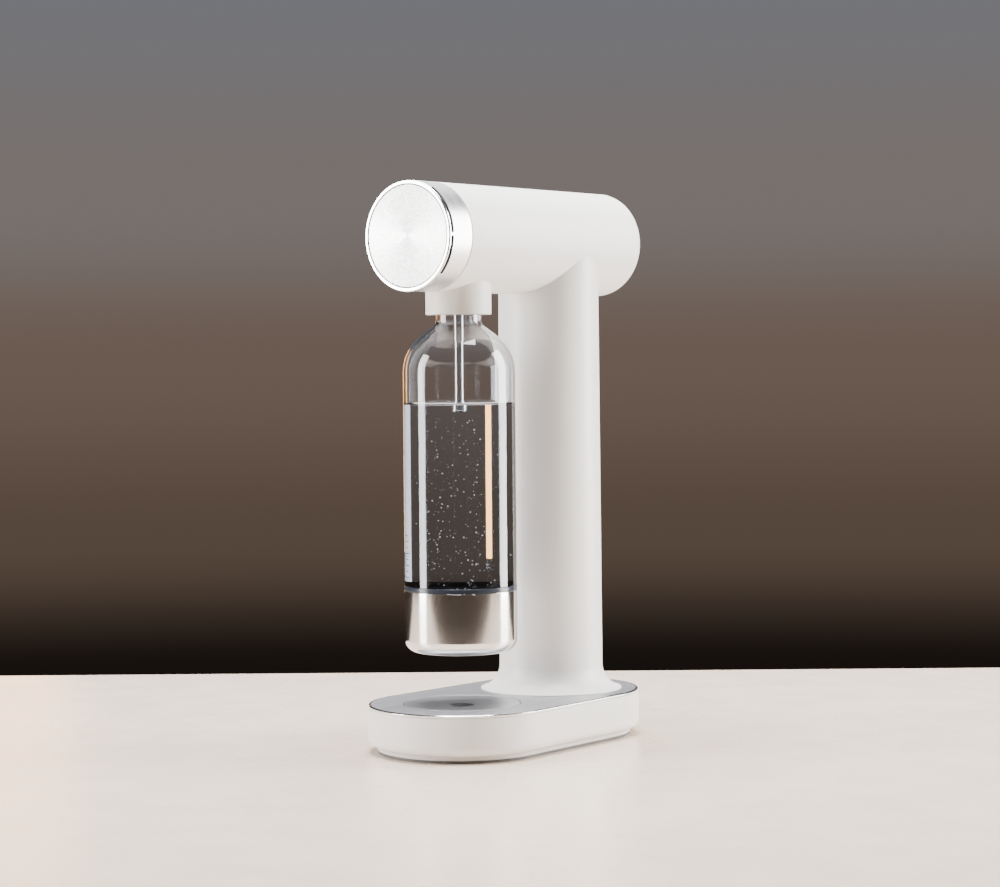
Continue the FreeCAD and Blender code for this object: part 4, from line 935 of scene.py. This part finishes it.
piece("level_marks", ink, "bottle", "band_plastic", band_dark)

# ---- Nozzle ----------------------------------------------------------------------------------------
# A thin polished steel tube that reaches down through the neck into the water.  It steps to a smaller
# tube at a pressed joint, and ends in a short jet piece.
tube_steel = brushed_finish("tube_steel", (0.78, 0.78, 0.78), (80, 80, 4000), 0.14, 0.000001)
tube_low, tube_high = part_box("nozzle_tube")
tube_bore, tube_r, joint_r, upper_r = 1.6 * MM, 3.4 * MM, 3.1 * MM, 3.8 * MM
jet_bore, jet_r = 0.6 * MM, 4.2 * MM
step_z = mouth_z - 37.1 * MM
tube = bmesh.new()
skin(tube, round_at(bottle_y, count=64),
     rounded((tube_bore, tube_low.z, 0), (tube_r, tube_low.z, 0.1 * MM),
             (tube_r, step_z - 0.5 * MM, 0.15 * MM), (joint_r, step_z - 0.4 * MM, 0.05 * MM),
             (joint_r, step_z, 0.05 * MM), (upper_r, step_z, 0.25 * MM), (upper_r, tube_high.z, 0.1 * MM),
             (tube_bore, tube_high.z, 0)), closed=True)
piece("gas_tube", tube, "stand", "tube_steel", tube_steel, "nozzle_tube")
jet = bmesh.new()
skin(jet, round_at(bottle_y, count=64),
     rounded((jet_bore, tip_low.z + 0.5 * MM, 0), (jet_r - 1 * MM, tip_low.z, 0.2 * MM),
             (jet_r, tip_low.z + 1 * MM, 0.6 * MM), (jet_r, tip_high.z - 2 * MM, 1.0 * MM),
             (tube_r, tip_high.z, 0.1 * MM), (tube_bore, tip_high.z, 0), (tube_bore, tip_low.z + 3 * MM, 0),
             (jet_bore, tip_low.z + 2 * MM, 0)), closed=True)
piece("jet_tip", jet, "stand", "tube_steel", tube_steel, "nozzle_tip")

# ---- Return spring ---------------------------------------------------------------------------------
# A small coil of round steel wire about the push pin, out of sight in the head.  Its lower end stands
# still, and the pin's collar presses its upper end down as the knob turns.
spring_wire = brushed_finish("spring_wire", (0.42, 0.42, 0.44), (2000, 2000, 2000), 0.3, 0.000003)
spring_low, spring_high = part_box("pin_spring")
spring_h = spring_high.z - spring_low.z
wire_r, turns, press = 0.35 * MM, 3, 2.45 * MM
coil_r = (spring_high.x - spring_low.x) / 2 - wire_r
upright = Vector((0, 0, 1))
coil = bmesh.new()
rings = []
for n in range(32 * turns + 1):
    angle = 2 * math.pi * n / 32
    out = Vector((math.cos(angle), math.sin(angle), 0))
    rise = wire_r + (spring_h - 2 * wire_r) * n / (32 * turns)
    middle = Vector((0, column_y, spring_low.z + rise)) + coil_r * out
    wire = [math.cos(math.pi * k / 5) * out + math.sin(math.pi * k / 5) * upright for k in range(10)]
    rings.append([coil.verts.new(middle + wire_r * side_way) for side_way in wire])
for low, high in zip(rings, rings[1:]):
    for k in range(10):
        coil.faces.new((low[k], low[(k + 1) % 10], high[(k + 1) % 10], high[k]))
coil.faces.new(rings[0])
coil.faces.new(rings[-1])
return_spring = piece("return_spring", coil, "stand", "spring_steel", spring_wire, "pin_spring")
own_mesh(return_spring)

# ---- Works inside the head, column and base --------------------------------------------------------
# The parts out of sight: zinc-plated steel frames and screws, turned brass blocks and nuts, ground
# steel shaft, cam and pin, the knob's wound spring, plastic bushes and the painted gas cylinder.
zinc = brushed_finish("zinc_plate", (0.62, 0.625, 0.63), (600, 600, 600), 0.36, 0.000008)
screw_zinc = brushed_finish("screw_zinc", (0.66, 0.66, 0.64), (1500, 1500, 1500), 0.28, 0.000003)
alloy = brushed_finish("cast_alloy", (0.66, 0.665, 0.68), (900, 900, 900), 0.48, 0.00002)
brass = brushed_finish("turned_brass", (0.82, 0.62, 0.30), (300, 300, 4000), 0.24, 0.000003)
ground = brushed_finish("ground_steel", (0.70, 0.70, 0.71), (4000, 4000, 200), 0.2, 0.000001)
nickel = brushed_finish("magnet_nickel", (0.78, 0.77, 0.75), (1200, 1200, 1200), 0.12, 0.000001)
hub_black = solid_finish("hub_black", (0.02, 0.02, 0.022), (0.4, 0.6),
                         ((0.016, 0.016, 0.018), (0.028, 0.028, 0.03)), (0.001, 0.004, 0.0005))
bush_white = solid_finish("bush_white", (0.72, 0.70, 0.65), (0.42, 0.58),
                          ((0.68, 0.66, 0.61), (0.74, 0.72, 0.67)), (0.002, 0.006, 0.0006))
gas_paint = solid_finish("gas_paint", (0.27, 0.32, 0.37), (0.3, 0.4),
                         ((0.255, 0.305, 0.355), (0.29, 0.34, 0.39)), (0.01, 0.05, 0.0015))
for made, names in (
        (zinc, ("base_frame", "spine_frame")),
        (screw_zinc, ("base_screws", "column_screws", "spine_screws", "collar_screws", "hub_screw")),
        (alloy, ("head_frame",)),
        (brass, ("valve_block", "nozzle_block", "block_nuts", "pipe_nuts", "relief_valve", "cylinder_valve")),
        (ground, ("knob_shaft", "push_pin", "valve_cam")),
        (tube_steel, ("gas_pipe",)),
        (spring_wire, ("knob_spring",)),
        (nickel, ("shell_magnets", "cover_magnets")),
        (hub_black, ("knob_hub",)),
        (bush_white, ("shaft_bushes", "cylinder_saddle")),
        (rubber, ("bottle_seal", "valve_gasket")),
        (gas_paint, ("cylinder_body",))):
    for name in names:
        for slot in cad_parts[name].material_slots:
            slot.material = made
